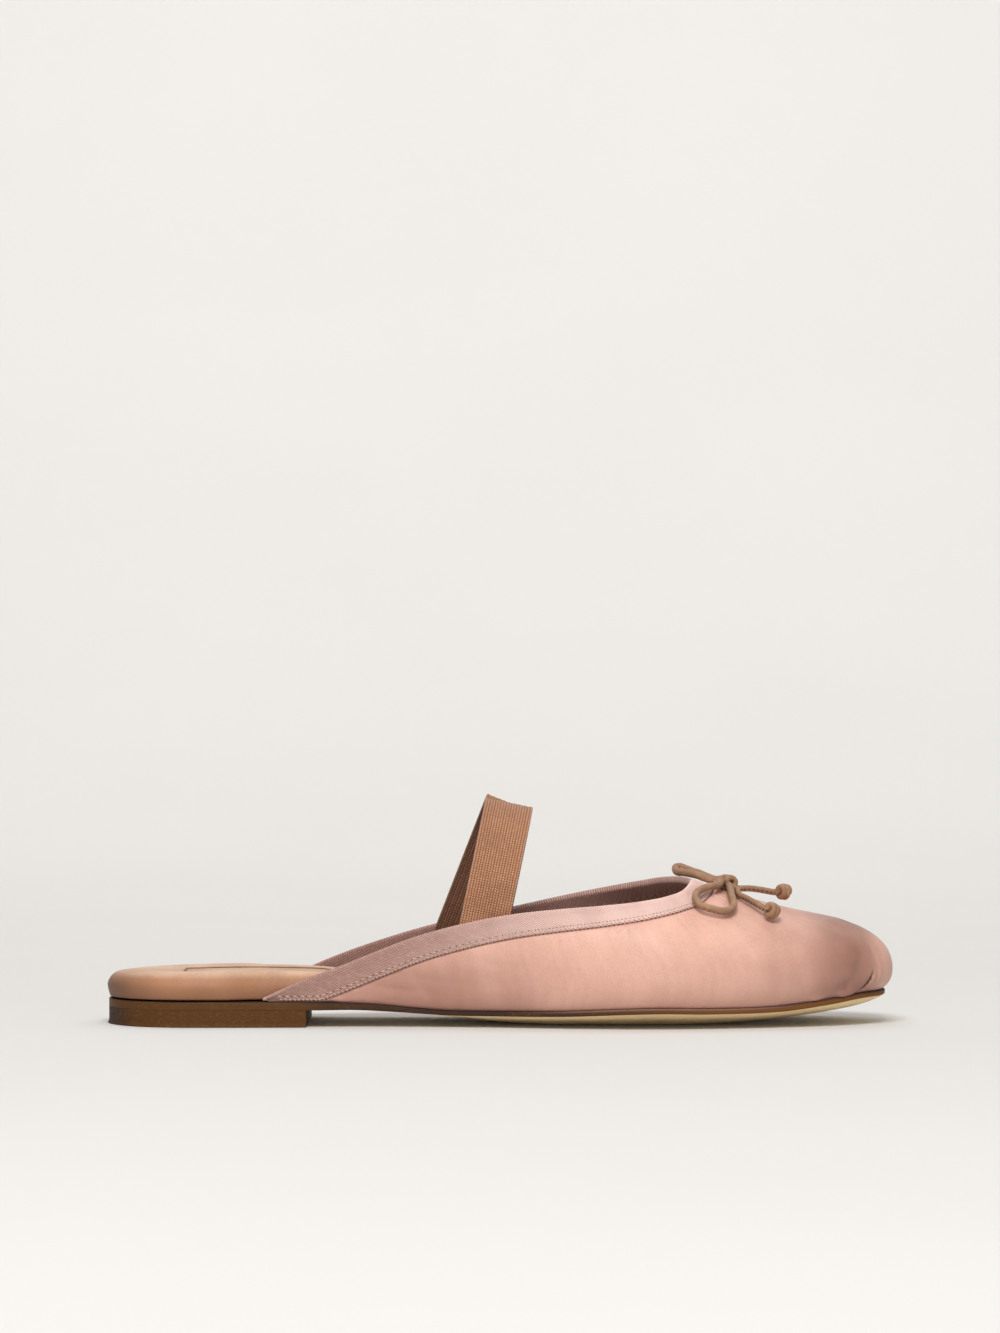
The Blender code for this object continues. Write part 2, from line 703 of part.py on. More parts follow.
def make_heel(material):
    turn = np.linspace(0.0, math.pi / 2.0, 14)
    x = SOLE_BACK_X + (HEEL_BREAST_X - SOLE_BACK_X) * (1.0 - np.cos(turn))
    lateral = np.stack([x, -sole_width(x, -1)], axis=-1)
    medial = np.stack([x, sole_width(x, 1)], axis=-1)
    loop = np.concatenate([lateral, medial[:0:-1]])
    middle = np.array([0.5 * HEEL_BREAST_X, 0.0])
    spread = 1.0 + HEEL_FLARE / (0.5 * HEEL_BREAST_X)
    flared = np.minimum(middle + (loop - middle) * spread, (HEEL_BREAST_X, np.inf))
    n = len(loop)
    points = np.concatenate(
        [
            np.column_stack([flared, np.zeros(n)]),
            np.column_stack([loop, np.full(n, HEEL_FLARE_HEIGHT)]),
            np.column_stack([loop, np.full(n, HEEL_HEIGHT)]),
        ]
    )
    faces = [tuple(range(n))[::-1], tuple(range(2 * n, 3 * n))]
    for ring in (0, n):
        for i in range(n):
            j = (i + 1) % n
            faces.append((ring + i, ring + j, ring + n + j, ring + n + i))
    new_object("heel", new_mesh("heel", points, faces), material)


def make_insole(material):
    def width_at(x, sign):
        toe = end_round(x, TOE_ROUND_X, SOLE_TIP_X - 2.8, TOE_SQUARENESS)
        heel = end_round(x, HEEL_ROUND_X, SOLE_BACK_X + 0.3, HEEL_SQUARENESS)
        return (PLAN(side_name(sign), x) - INSOLE("inset", x)) * toe * heel

    x = end_spaced(SOLE_BACK_X + 0.3, SOLE_TIP_X - 2.8, 38)
    x = np.union1d(x, CUSHION_STEP)
    loop, _, axis = plan_loop(x, width_at)
    _, normals, _ = plan_loop(x, sole_width)
    thick = INSOLE("thick", loop[:, 0])
    bulge = INSOLE("bulge", loop[:, 0])
    round_radius = CUSHION_ROUND * thick

    def floor(x, y):
        return sole_top(x, y) + GAP + BED_SAG

    def bed(x, y):
        return floor(x, y) + INSOLE("thick", x)

    def ring(inset, over):
        plan = loop - inset[:, None] * normals
        return np.column_stack([plan, floor(loop[:, 0], loop[:, 1]) + over])

    foot_inset = CUSHION_FOOT * bulge
    under = loop - foot_inset[:, None] * normals
    inner = loop - round_radius[:, None] * normals
    rings = [with_height(towards(inner, axis, share), bed) for share in BED_SHARES[:-1]]
    for turn in np.radians((90.0, 60.0, 32.0, 6.0)):
        inset = round_radius * (1.0 - math.cos(turn)) - bulge
        rings.append(ring(inset, thick - round_radius * (1.0 - math.sin(turn))))
    rings.append(ring(foot_inset, 0.0 * thick))
    rings += [with_height(towards(under, axis, share), floor) for share in BED_SHARES[-2::-1]]
    ring_solid("insole", rings, material)


def strap_line(count_tuck=4, count_arch=22):
    """Middle line of the strap, its width direction and its face direction, from the lateral
    end inside the collar over the crown to the medial end."""
    crown = np.array(STRAP_CROWN)
    halves = []
    for sign, (base_x, base_z) in ((-1, STRAP_NEAR_BASE), (1, STRAP_FAR_BASE)):
        rise = crown[2] - base_z
        lean = (crown[0] - base_x) / rise
        drop = STRAP_TUCK * (1.0 - np.arange(count_tuck) / count_tuck)
        z = base_z - drop / math.hypot(1.0, lean)
        x = base_x + lean * (z - base_z)
        y = wall_y(x, z, sign) - sign * STRAP_INSET
        tuck = np.column_stack([x, y, z])
        base_y = wall_y(base_x, base_z, sign) - sign * STRAP_INSET
        turn = np.linspace(0.0, math.pi / 2.0, count_arch // 2 + 1)
        z = base_z + rise * np.sin(turn)
        x = base_x + lean * (z - base_z)
        y = crown[1] + (base_y - crown[1]) * np.cos(turn)
        arch = np.column_stack([x, y, z])
        plan_slope = (wall_y(base_x + 6.0, base_z, sign) - wall_y(base_x - 6.0, base_z, sign)) / 12.0
        line = np.concatenate([tuck, arch])
        fade = np.concatenate([np.ones(count_tuck), np.cos(turn)])
        width = np.column_stack([np.ones(len(line)), plan_slope * fade, np.full(len(line), -lean)])
        halves.append((line, width))
    (near, near_width), (far, far_width) = halves
    width = np.concatenate([near_width[:-1], 0.5 * (near_width[-1:] + far_width[-1:]), far_width[-2::-1]])
    line = np.concatenate([near, far[-2::-1]])
    run = unit(np.gradient(line, axis=0))
    width = unit(width - np.sum(width * run, axis=1, keepdims=True) * run)
    return line, width, unit(np.cross(run, width))


def make_strap(material):
    line, width, face = strap_line()
    across = np.array([-0.5, -0.47, 0.47, 0.5]) * STRAP_WIDTH
    flat = line[:, None, :] + across[None, :, None] * width[:, None, :]
    half = np.array([0.3, 0.5, 0.5, 0.3]) * STRAP_THICK
    lift = half[None, :, None] * face[:, None, :]
    sheet_solid("elastic_strap", flat + lift, flat - lift, material)


def over_satin(place):
    """A point given by its plan position and its height over the satin."""
    x, y, over = place
    return np.array([x, y, vamp_height(np.float64(x), np.float64(y)) + over])


def make_cord(name, route, material):
    w = np.linspace(0.0, 1.0, 400)
    x, y, over = (route(column, w) for column in ("x", "y", "over"))
    line = np.column_stack([x, y, vamp_height(x, y) + over])
    along = lengths_along(line)
    wanted = np.linspace(0.0, along[-1], round(along[-1] / CORD_STEP) + 1)
    points = np.column_stack([np.interp(wanted, along, line[:, axis]) for axis in range(3)])
    curve = bpy.data.curves.new(name, "CURVE")
    curve.dimensions = "3D"
    curve.bevel_depth = CORD_RADIUS * MM
    curve.bevel_resolution = 2
    curve.render_resolution_u = 0
    curve.use_fill_caps = True
    spline = curve.splines.new("POLY")
    spline.points.add(len(points) - 1)
    for point, place in zip(spline.points, points * MM):
        point.co = (*place, 1.0)
    new_object(name, curve, material)


def make_knot(name, place, size, material):
    ball = bmesh.new()
    bmesh.ops.create_uvsphere(ball, u_segments=14, v_segments=9, radius=0.5 * MM)
    mesh = bpy.data.meshes.new(name)
    bmesh.ops.scale(ball, vec=size, verts=ball.verts)
    ball.to_mesh(mesh)
    ball.free()
    mesh.shade_smooth()
    knot = new_object(name, mesh, material)
    knot.location = over_satin(place) * MM


def make_bow(material):
    make_knot("bow_knot", BOW_KNOT, BOW_KNOT_SIZE, material)
    make_cord("bow_loop_near", NEAR_LOOP, material)
    make_cord("bow_loop_far", FAR_LOOP, material)
    make_cord("bow_end_near", NEAR_END, material)
    make_cord("bow_end_far", FAR_END, material)
    make_knot("end_knot_near", END_KNOT_NEAR, END_KNOT_SIZE, material)
    make_knot("end_knot_far", END_KNOT_FAR, END_KNOT_SIZE, material)


def build():
    bpy.context.scene.collection.children.link(SHOE)
    SHOE.objects.link(LAST)
    LAST.location = (-SHOE_MIDDLE_X * MM, 0.0, 0.0)
    satin = material_of("satin", (0.60, 0.36, 0.29), 0.38)
    ribbon = material_of("grosgrain ribbon", (0.50, 0.32, 0.29), 0.7)
    elastic = material_of("woven elastic", (0.35, 0.16, 0.08), 0.8)
    leather = material_of("insole leather", (0.52, 0.30, 0.18), 0.55)
    sole = material_of("sole leather", (0.56, 0.42, 0.27), 0.6)
    board = material_of("leatherboard", (0.11, 0.055, 0.025), 0.7)
    cord = material_of("cord leather", (0.38, 0.24, 0.13), 0.6)
    make_outsole(sole)
    make_heel(board)
    make_insole(leather)
    make_upper(satin)
    make_binding(ribbon)
    make_strap(elastic)
    make_bow(cord)


for old in list(bpy.data.objects):
    bpy.data.objects.remove(old, do_unlink=True)
SHOE = bpy.data.collections.new("ballet mule")
LAST = bpy.data.objects.new("last", None)

if __name__ == "__main__":
    build()
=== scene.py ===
"""Looks of a satin ballet mule, a right shoe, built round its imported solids.

Sizes are in millimetres in the last's own frame: X runs from the back of the heel to the front
of the toe, -Y is the outer side, +Y the inner side and Z = 0 the floor. Meshes are written in
metres with the shoe's middle at the origin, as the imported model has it.
"""

import json
import logging
from dataclasses import dataclass
from enum import Enum
from math import cos, hypot, pi, radians, sin
from typing import Callable, Sequence

import bmesh
import bpy
import numpy as np
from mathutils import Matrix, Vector
from numpy.polynomial.polynomial import polyfit, polyval

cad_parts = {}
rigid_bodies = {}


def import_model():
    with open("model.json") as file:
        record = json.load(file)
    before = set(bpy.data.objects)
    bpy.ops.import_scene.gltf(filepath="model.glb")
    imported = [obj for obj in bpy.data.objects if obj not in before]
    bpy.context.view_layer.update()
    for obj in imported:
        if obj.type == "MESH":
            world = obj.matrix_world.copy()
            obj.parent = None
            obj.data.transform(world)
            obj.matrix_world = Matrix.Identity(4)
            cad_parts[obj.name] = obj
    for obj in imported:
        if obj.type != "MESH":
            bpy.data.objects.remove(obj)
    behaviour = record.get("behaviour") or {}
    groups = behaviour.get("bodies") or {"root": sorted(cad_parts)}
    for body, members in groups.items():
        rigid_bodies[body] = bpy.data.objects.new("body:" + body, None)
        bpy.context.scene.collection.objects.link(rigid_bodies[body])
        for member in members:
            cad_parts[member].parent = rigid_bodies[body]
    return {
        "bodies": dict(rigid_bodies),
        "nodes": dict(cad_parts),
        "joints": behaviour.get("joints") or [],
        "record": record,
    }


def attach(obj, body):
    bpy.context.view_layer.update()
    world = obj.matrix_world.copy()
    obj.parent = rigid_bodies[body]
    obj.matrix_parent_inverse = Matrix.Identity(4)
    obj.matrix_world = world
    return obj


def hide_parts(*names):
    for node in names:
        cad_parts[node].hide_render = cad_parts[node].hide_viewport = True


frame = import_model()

log = logging.getLogger("ballet_mule")

MM = 0.001
SHOE_MIDDLE = (125, 0, 0)
Array = np.ndarray
Piece = bpy.types.Object
Material = bpy.types.Material


# ---- tables of sizes
class Table:
    """Rows of sizes, read as smooth curves along the first column."""

    def __init__(self, columns: Sequence[str], *rows: Sequence[float]) -> None:
        """Keeps the columns' names and the rows, which come in order of the first column."""
        self.columns = tuple(columns)
        self.rows = np.array(rows, float)

    def __call__(self, column: str, x: Array | float) -> Array:
        """Reads a column by cubic Hermite through the rows, its tangents held short enough
        that the curve never overshoots a row.

        Args:
            column: name of the column.
            x: places along the first column.

        Returns:
            The sizes there.
        """
        xs = self.rows[:, 0]
        ys = self.rows[:, self.columns.index(column)]
        steps = np.diff(xs)
        slopes = np.diff(ys) / steps
        inner = (slopes[:-1] * steps[1:] + slopes[1:] * steps[:-1]) / (steps[:-1] + steps[1:])
        limit = 3 * np.minimum(np.abs(slopes[:-1]), np.abs(slopes[1:]))
        inner = np.sign(inner) * np.minimum(np.abs(inner), limit)
        inner[slopes[:-1] * slopes[1:] <= 0] = 0
        tangents = np.concatenate([slopes[:1], inner, slopes[-1:]])
        x = np.clip(np.asarray(x, float), xs[0], xs[-1])
        i = np.clip(np.searchsorted(xs, x) - 1, 0, len(steps) - 1)
        t = (x - xs[i]) / steps[i]
        a = (1 + 2 * t) * (1 - t) ** 2
        b = t**2 * (3 - 2 * t)
        c = t * (1 - t) ** 2 * steps[i]
        d = t**2 * (t - 1) * steps[i]
        return a * ys[i] + b * ys[i + 1] + c * tangents[i] + d * tangents[i + 1]


# Plan of the sole: half widths on each side of a centre line that bends inwards at the toe.
PLAN = Table(
    ("x", "lateral", "medial", "centre"),
    (0, 26.5, 26.5, 0),
    (30, 27, 27, 0),
    (60, 26.3, 25.2, 0),
    (90, 25.7, 22.8, 0),
    (120, 29, 25, 0),
    (150, 35.8, 32.2, 0),
    (168, 38.2, 36.8, 0),
    (182, 37.7, 37.8, 0.1),
    (200, 34.4, 36.2, 0.5),
    (222, 28.3, 29.9, 1.8),
    (235, 24.4, 25.1, 2.4),
    (250, 20, 21, 3),
)

# Side of the sole: top and bottom of its edge, underside along the middle, thickness there.
SOLE = Table(
    ("x", "edge_top", "edge_bottom", "middle", "thick"),
    (0, 8, 5.35, 5.35, 2.65),
    (66, 8, 5.35, 5.35, 2.65),
    (78, 7.6, 5.45, 5.35, 2.6),
    (89, 6.9, 5, 5.1, 2.5),
    (99, 6, 4.4, 4, 2.4),
    (110, 5.3, 3.8, 2.5, 2.4),
    (124, 5.3, 3.7, 0.85, 2.4),
    (140, 5.5, 3.8, 0.1, 2.3),
    (148, 5.75, 4, 0, 2.3),
    (166, 6.5, 4.75, 0, 2.2),
    (176, 6.7, 4.95, 0, 2.2),
    (190, 6.5, 4.75, 0.3, 2.1),
    (212, 6.9, 5.1, 1.8, 2),
    (228, 8.8, 6.9, 3.8, 1.9),
    (241, 10.4, 8.7, 6.4, 1.8),
    (248, 10.6, 8.95, 8.95, 1.7),
)

# Sections of the upper: belly beyond the sole's edge, height of the widest line above the
# foot of the wall, height of the spine, shift of the spine inwards, exponent of the section.
# Behind the throat the spine is only the ridge that both walls lean towards.
UPPER = Table(
    ("x", "belly", "belt", "spine", "shift", "power"),
    (50, -0.8, 0.05, 92, 2, 2.1),
    (66, -0.6, 0.3, 84, 2.5, 2.1),
    (80, 0, 1.8, 76, 3, 2.1),
    (95, 0.6, 4, 69, 3.5, 2.1),
    (112, 1.2, 6, 62, 4, 2.1),
    (130, 1.7, 7.5, 56.5, 4.5, 2.1),
    (150, 2.1, 8.3, 53.5, 5, 2.05),
    (170, 2.5, 8.5, 49.8, 5.2, 2),
    (178, 2.6, 8.5, 47.9, 5.2, 1.95),
    (183, 2.6, 8.4, 46.2, 5.1, 1.95),
    (186.4, 2.6, 8.4, 44.7, 5, 1.95),
    (192, 2.6, 8.3, 43.1, 4.8, 2),
    (205, 2.6, 8, 39.2, 4.2, 2.1),
    (215, 2.5, 7.7, 36.5, 3.8, 2.25),
    (225, 2.5, 7.2, 34.3, 3.3, 2.4),
    (238, 2.5, 6.5, 31.8, 2.7, 2.5),
    (250, 2.5, 5.8, 29.4, 2.2, 2.5),
)

# Height of the upper's cut edge along the opening, on each side.
COLLAR = Table(
    ("x", "lateral", "medial"),
    (52, 9, 9.2),
    (62, 13.6, 14.6),
    (74, 18.1, 19.8),
    (86, 23, 24.1),
    (98, 27.6, 27.8),
    (112, 31.6, 31.4),
    (128, 34.9, 34.7),
    (144, 36.8, 38.2),
    (158, 38, 41.1),
    (170, 39.3, 43.4),
    (178, 40.7, 44.9),
    (183, 42.3, 45.2),
    (186.4, 44.7, 44.7),
)

# How far along the collar each column of the upper starts, for its place along the sole.
MATCH = Table(
    ("sole", "collar"),
    (0, 0),
    (0.1, 0.125),
    (0.2, 0.265),
    (0.3, 0.4),
    (0.45, 0.59),
    (0.6, 0.75),
    (0.75, 0.87),
    (0.9, 0.955),
    (1, 1),
)

# The insole: how far its edge stands inside the sole's edge, its thickness, its edge bulge.
INSOLE = Table(
    ("x", "inset", "thick", "bulge"),
    (0, 0.3, 8, 0.9),
    (20, 0.3, 8.5, 0.9),
    (38, 0.35, 9, 0.85),
    (51.2, 3.3, 9.2, 0),
    (70, 3.3, 8.8, 0),
    (90, 3.1, 7.2, 0),
    (110, 2.9, 5.4, 0),
    (130, 2.8, 4.1, 0),
    (150, 2.8, 3.5, 0),
    (250, 2.8, 3.4, 0),
)

# The bow's cords as they lie over the satin, each read along its own length from the knot.
NEAR_LOOP = Table(
    ("place", "x", "y", "over"),
    (0, 195.2, -0.3, 2.3),
    (0.12, 193.9, -8, 2.4),
    (0.24, 190.4, -14.4, 2.9),
    (0.36, 186.9, -21.2, 3.5),
    (0.41, 186.1, -24.1, 3.4),
    (0.455, 187.3, -26.4, 3.3),
    (0.51, 190.2, -27.2, 3.2),
    (0.58, 194.8, -26.4, 2.7),
    (0.64, 197.5, -23.6, 2.4),
    (0.7, 198.4, -19.8, 2.3),
    (0.8, 198, -13.2, 2.2),
    (1, 197.9, -0.35, 2.2),
)

FAR_LOOP = Table(
    ("place", "x", "y", "over"),
    (0, 192.7, 4.9, 1.85),
    (0.08, 190.4, 7, 2),
    (0.17, 187.6, 10, 2.4),
    (0.34, 182.8, 16, 2.2),
    (0.4, 181.6, 18.4, 3),
    (0.455, 181.5, 20.6, 4.7),
    (0.5, 182.5, 22.1, 6.1),
    (0.55, 184.3, 22.2, 6.4),
    (0.67, 188.1, 18.7, 5),
    (0.82, 191.4, 12.8, 3),
    (1, 195.3, 7, 2.3),
)

NEAR_END = Table(
    ("place", "x", "y", "over"),
    (0, 200.4, 0.1, 1.7),
    (0.38, 200.6, -8.3, 1.5),
    (0.52, 202.4, -10.8, 1.8),
    (0.78, 205.2, -14.8, 2.2),
    (1, 207.95, -18.7, 2.8),
)

FAR_END = Table(
    ("place", "x", "y", "over"),
    (0, 201.1, 4.5, 1.8),
    (0.2, 203.3, 5.4, 2.5),
    (0.5, 206.5, 6.5, 3.2),
    (1, 212.65, 8.1, 3.8),
)


# ---- small maths
def unit(vectors: Array) -> Array:
    """Vectors scaled to length 1 along their last axis."""
    return vectors / np.maximum(np.linalg.norm(vectors, axis=-1, keepdims=True), 1e-12)


def smooth_step(low: float | Array, high: float | Array, value: Array) -> Array:
    """0 below low, 1 above high and a smooth S between them."""
    t = np.clip((np.asarray(value, float) - low) / (np.asarray(high) - low), 0, 1)
    return t * t * (3 - 2 * t)


def lengths_along(points: Array) -> Array:
    """(..., n) lengths from the first point to each of (..., n, 2 or 3) points."""
    steps = np.linalg.norm(np.diff(points, axis=-2), axis=-1)
    return np.concatenate([np.zeros(steps.shape[:-1] + (1,)), np.cumsum(steps, axis=-1)], axis=-1)


def read_along(kept: Array, along: Array, wanted: Array) -> Array:
    """What is kept at the points of one line - the points or directions there - read at the
    wanted lengths along it."""
    return np.stack([np.interp(wanted, along, part) for part in kept.T], axis=-1)


def resample(points: Array, wanted: Array) -> Array:
    """Points of one line at the wanted lengths along it."""
    return read_along(points, lengths_along(points), wanted)


def evenly(points: Array, count: int) -> Array:
    """Evenly spaced points along one line, its ends included."""
    return resample(points, np.linspace(0, lengths_along(points)[-1], count))


def crossed(*parts: Array) -> Array:
    """Points or texture places whose coordinates run along different axes of a grid."""
    return np.stack(np.broadcast_arrays(*parts), axis=-1)


def read_lines(lines: Array, wanted: Array) -> Array:
    """Points at the wanted lengths along each of several lines. Every line is shifted along a
    common ruler by its own number, so one interpolation reads them all.

    Args:
        lines: (n, k, 3) points of the lines.
        wanted: (n, m) lengths.

    Returns:
        (n, m, 3) points.
    """
    along = lengths_along(lines)
    ruler = 1e4 * np.arange(len(lines))[:, None]
    wanted = np.clip(wanted, 0, along[:, -1:]) + ruler
    flat = (along + ruler).ravel()
    return np.stack([np.interp(wanted, flat, lines[..., k].ravel()) for k in range(3)], axis=-1)


def ripple(s: Array, seed: int, pitch: float) -> Array:
    """Irregular waves along s: six sines of unlike pitch and phase, between about -1 and 1.

    Args:
        s: places along the line, in mm.
        seed: seed of its random draws.
        pitch: usual length of a wave.

    Returns:
        The waves at s.
    """
    rng = np.random.default_rng(seed)
    pitches = pitch * rng.uniform(0.7, 1.6, 6)
    phases = rng.uniform(0, 2 * pi, 6)
    waves = np.sin(2 * pi * np.asarray(s)[..., None] / pitches + phases)
    return waves.sum(axis=-1) / 3


# ---- the last's form
class Side(Enum):
    """The two sides of the shoe, named as the tables' columns."""

    LATERAL = "lateral"
    MEDIAL = "medial"

    @property
    def sign(self) -> int:
        """Sign of Y on this side."""
        return -1 if self is Side.LATERAL else 1


@dataclass(frozen=True)
class Last:
    """The form that every piece of the shoe follows."""

    length: float = 250.0
    sole_back: float = 0.8
    sole_tip: float = 247.5
    heel_round: float = 27.8
    heel_squareness: float = 2.1
    toe_round: float = 222.0
    toe_squareness: float = 2.5
    spine_round: float = 226.0
    spine_squareness: float = 2.7
    gap: float = 0.3
    lip: float = 0.8
    insole_ends: tuple = (1.1, 244.7)  # x of its back and its tip
    flat_share: float = 0.3  # of the sole's half width; beyond it the sole rises by lift_power
    lift_power: float = 1.7
    collar_back: float = 52.0
    throat: float = 186.4
    lower_lobe: float = radians(66.0)
    steep_wall: tuple = (172.0, 190.0)  # how far columns follow the wall: lateral, medial
    march: float = 8.0  # how far columns run square down from the collar, and in how many steps
    march_steps: int = 16

    @staticmethod
    def end_round(x: Array | float, start: float, tip: float, squareness: float) -> Array:
        """1 up to where a round end starts, then a superellipse's quarter down to 0."""
        u = np.clip((np.asarray(x, float) - start) / (tip - start), 0, 1)
        return (1 - u**squareness) ** (1 / squareness)

    def sole_width(self, x: Array, side: Side) -> Array:
        """Half width of the sole's plan."""
        heel = self.end_round(x, self.heel_round, self.sole_back, self.heel_squareness)
        toe = self.end_round(x, self.toe_round, self.sole_tip, self.toe_squareness)
        return PLAN(side.value, x) * heel * toe

    def belly_width(self, x: Array, side: Side) -> Array:
        """Half width of the upper at its widest line."""
        toe = self.end_round(x, self.toe_round, self.length, self.toe_squareness)
        return (PLAN(side.value, x) + UPPER("belly", x)) * toe

    def foot_width(self, x: Array, side: Side) -> Array:
        """Half width of the upper where it meets the sole."""
        toe = self.end_round(x, self.toe_round, self.sole_tip - self.lip, self.toe_squareness)
        return (PLAN(side.value, x) - self.lip) * toe

    def insole_width(self, x: Array, side: Side) -> Array:
        """Half width of the insole."""
        rear, front = self.insole_ends
        toe = self.end_round(x, self.toe_round, front, self.toe_squareness)
        heel = self.end_round(x, self.heel_round, rear, self.heel_squareness)
        return (PLAN(side.value, x) - INSOLE("inset", x)) * toe * heel

    def spine_shift(self, x: Array) -> Array:
        """How far the vamp's top line lies to the inner side of the centre line."""
        toe = self.end_round(x, self.toe_round, self.length, self.toe_squareness)
        return UPPER("shift", x) * toe

    def foot_height(self, x: Array) -> Array:
        """Height of the foot of the upper's wall."""
        return SOLE("edge_top", x) + self.gap

    def belt_height(self, x: Array) -> Array:
        """Height of the upper's widest line."""
        return self.foot_height(x) + UPPER("belt", x)

    def sole_lift(self, x: Array, y: Array) -> Array:
        """0 over the sole's flat middle, rising by a power to 1 at its edge.

        Args:
            x: stations along the shoe.
            y: points across it.

        Returns:
            The share of the rise.
        """
        across = y - PLAN("centre", x)
        lateral, medial = (self.sole_width(x, side) for side in Side)
        width = np.where(across < 0, lateral, medial)
        share = np.clip(np.abs(across) / np.maximum(width, 1e-6), 0, 1)
        return np.clip((share - self.flat_share) / (1 - self.flat_share), 0, 1) ** self.lift_power

    def sole_bottom(self, x: Array, y: Array) -> Array:
        """Height of the outsole's underside."""
        middle = SOLE("middle", x)
        return middle + (SOLE("edge_bottom", x) - middle) * self.sole_lift(x, y)

    def sole_top(self, x: Array, y: Array) -> Array:
        """Height of the outsole's upper face."""
        middle = SOLE("middle", x) + SOLE("thick", x)
        return middle + (SOLE("edge_top", x) - middle) * self.sole_lift(x, y)

    def section(self, x: Array, y: Array) -> tuple[Array, Array, Array, Array]:
        """The upper's section at x, a superellipse over the belt.

        Args:
            x: stations along the shoe.
            y: points across it, whose sign chooses the side.

        Returns:
            Reach from the spine to the belt, height over the belt, distance of y from the
            spine, and the exponent.
        """
        shift = self.spine_shift(x)
        across = y - PLAN("centre", x) - shift
        lateral, medial = (self.belly_width(x, side) - side.sign * shift for side in Side)
        reach = np.where(across < 0, lateral, medial)
        round_end = self.end_round(x, self.spine_round, self.length, self.spine_squareness)
        height = (UPPER("spine", x) - self.belt_height(x)) * round_end
        return np.maximum(reach, 1e-6), np.maximum(height, 1e-6), across, UPPER("power", x)

    def vamp_height(self, x: Array, y: Array) -> Array:
        """Height of the satin's face over a point of the plan."""
        reach, height, across, power = self.section(x, y)
        share = np.clip(np.abs(across) / reach, 0, 1)
        return self.belt_height(x) + height * (1 - share**power) ** (1 / power)

    def wall_y(self, x: Array, z: Array, side: Side) -> Array:
        """Where the satin's face stands at a height above the belt.

        Args:
            x: stations along the shoe.
            z: heights.
            side: side of the shoe.

        Returns:
            The y of the face.
        """
        reach, height, _, power = self.section(x, side.sign * 1000)
        share = np.clip((z - self.belt_height(x)) / height, 0, 1)
        out = reach * (1 - share**power) ** (1 / power)
        return PLAN("centre", x) + self.spine_shift(x) + side.sign * out

    def off_surface(self, points: Array) -> Array:
        """0 on the satin's face above the belt, positive outside it."""
        x, y, z = np.moveaxis(points, -1, 0)
        reach, height, across, power = self.section(x, y)
        up = np.abs(z - self.belt_height(x)) / height
        return (np.abs(across) / reach) ** power + up**power - 1

    def gradient(self, points: Array, step: float = 0.02) -> Array:
        """Slope of off_surface by central differences, which points out of the shoe."""
        moves = step * np.eye(3)
        change = [self.off_surface(points + m) - self.off_surface(points - m) for m in moves]
        return np.stack(change, axis=-1) / (2 * step)

    def edge_line(
        self, point_at: Callable[[Array, Side], Array], back: float, tip: float
    ) -> Callable[[Array], Array]:
        """A line that runs forward along the outer side to the tip and back along the inner
        side, with its own dense points, read by the share of each side's length.

        Args:
            point_at: gives the points at stations x on a side.
            back: where the line starts and ends.
            tip: where it turns.

        Returns:
            A function from places, -1 over 0 at the tip to 1, to points.
        """
        w = np.linspace(1, 0, 600)
        x = tip - (tip - back) * w**2
        sides = {side: point_at(x, side) for side in Side}

        def read(places: Array) -> Array:
            """Points at places from -1 over 0 at the tip to 1."""
            places = np.asarray(places, float)
            out = np.empty(places.shape + (3,))
            for side, points in sides.items():
                wanted = (1 - np.abs(places)) * lengths_along(points)[-1]
                chosen = places < 0 if side is Side.LATERAL else places >= 0
                out[chosen] = resample(points, wanted[chosen])
            return out

        return read

    def collar_point(self, x: Array, side: Side) -> Array:
        """Points of the upper's cut edge round the opening."""
        z = COLLAR(side.value, x)
        return np.stack([x, self.wall_y(x, z, side), z], axis=-1)

    def belt_point(self, x: Array, side: Side) -> Array:
        """Points of the upper's widest line."""
        y = PLAN("centre", x) + side.sign * self.belly_width(x, side)
        return np.stack([x, y, self.belt_height(x)], axis=-1)

    def foot_point(self, x: Array, side: Side) -> Array:
        """Points of the foot of the wall."""
        y = PLAN("centre", x) + side.sign * self.foot_width(x, side)
        return np.stack([x, y, self.foot_height(x)], axis=-1)

    def satin_points(self, route: Table, count: int) -> Array:
        """Dense points of a cord's line over the satin.

        Args:
            route: table with the columns place, x, y and over, the height over the satin.
            count: number of points.

        Returns:
            (count, 3) points, evenly spaced along the line.
        """
        w = np.linspace(0, 1, 800)
        x, y, over = (route(column, w) for column in ("x", "y", "over"))
        line = np.column_stack([x, y, self.vamp_height(x, y) + over])
        return evenly(line, count)


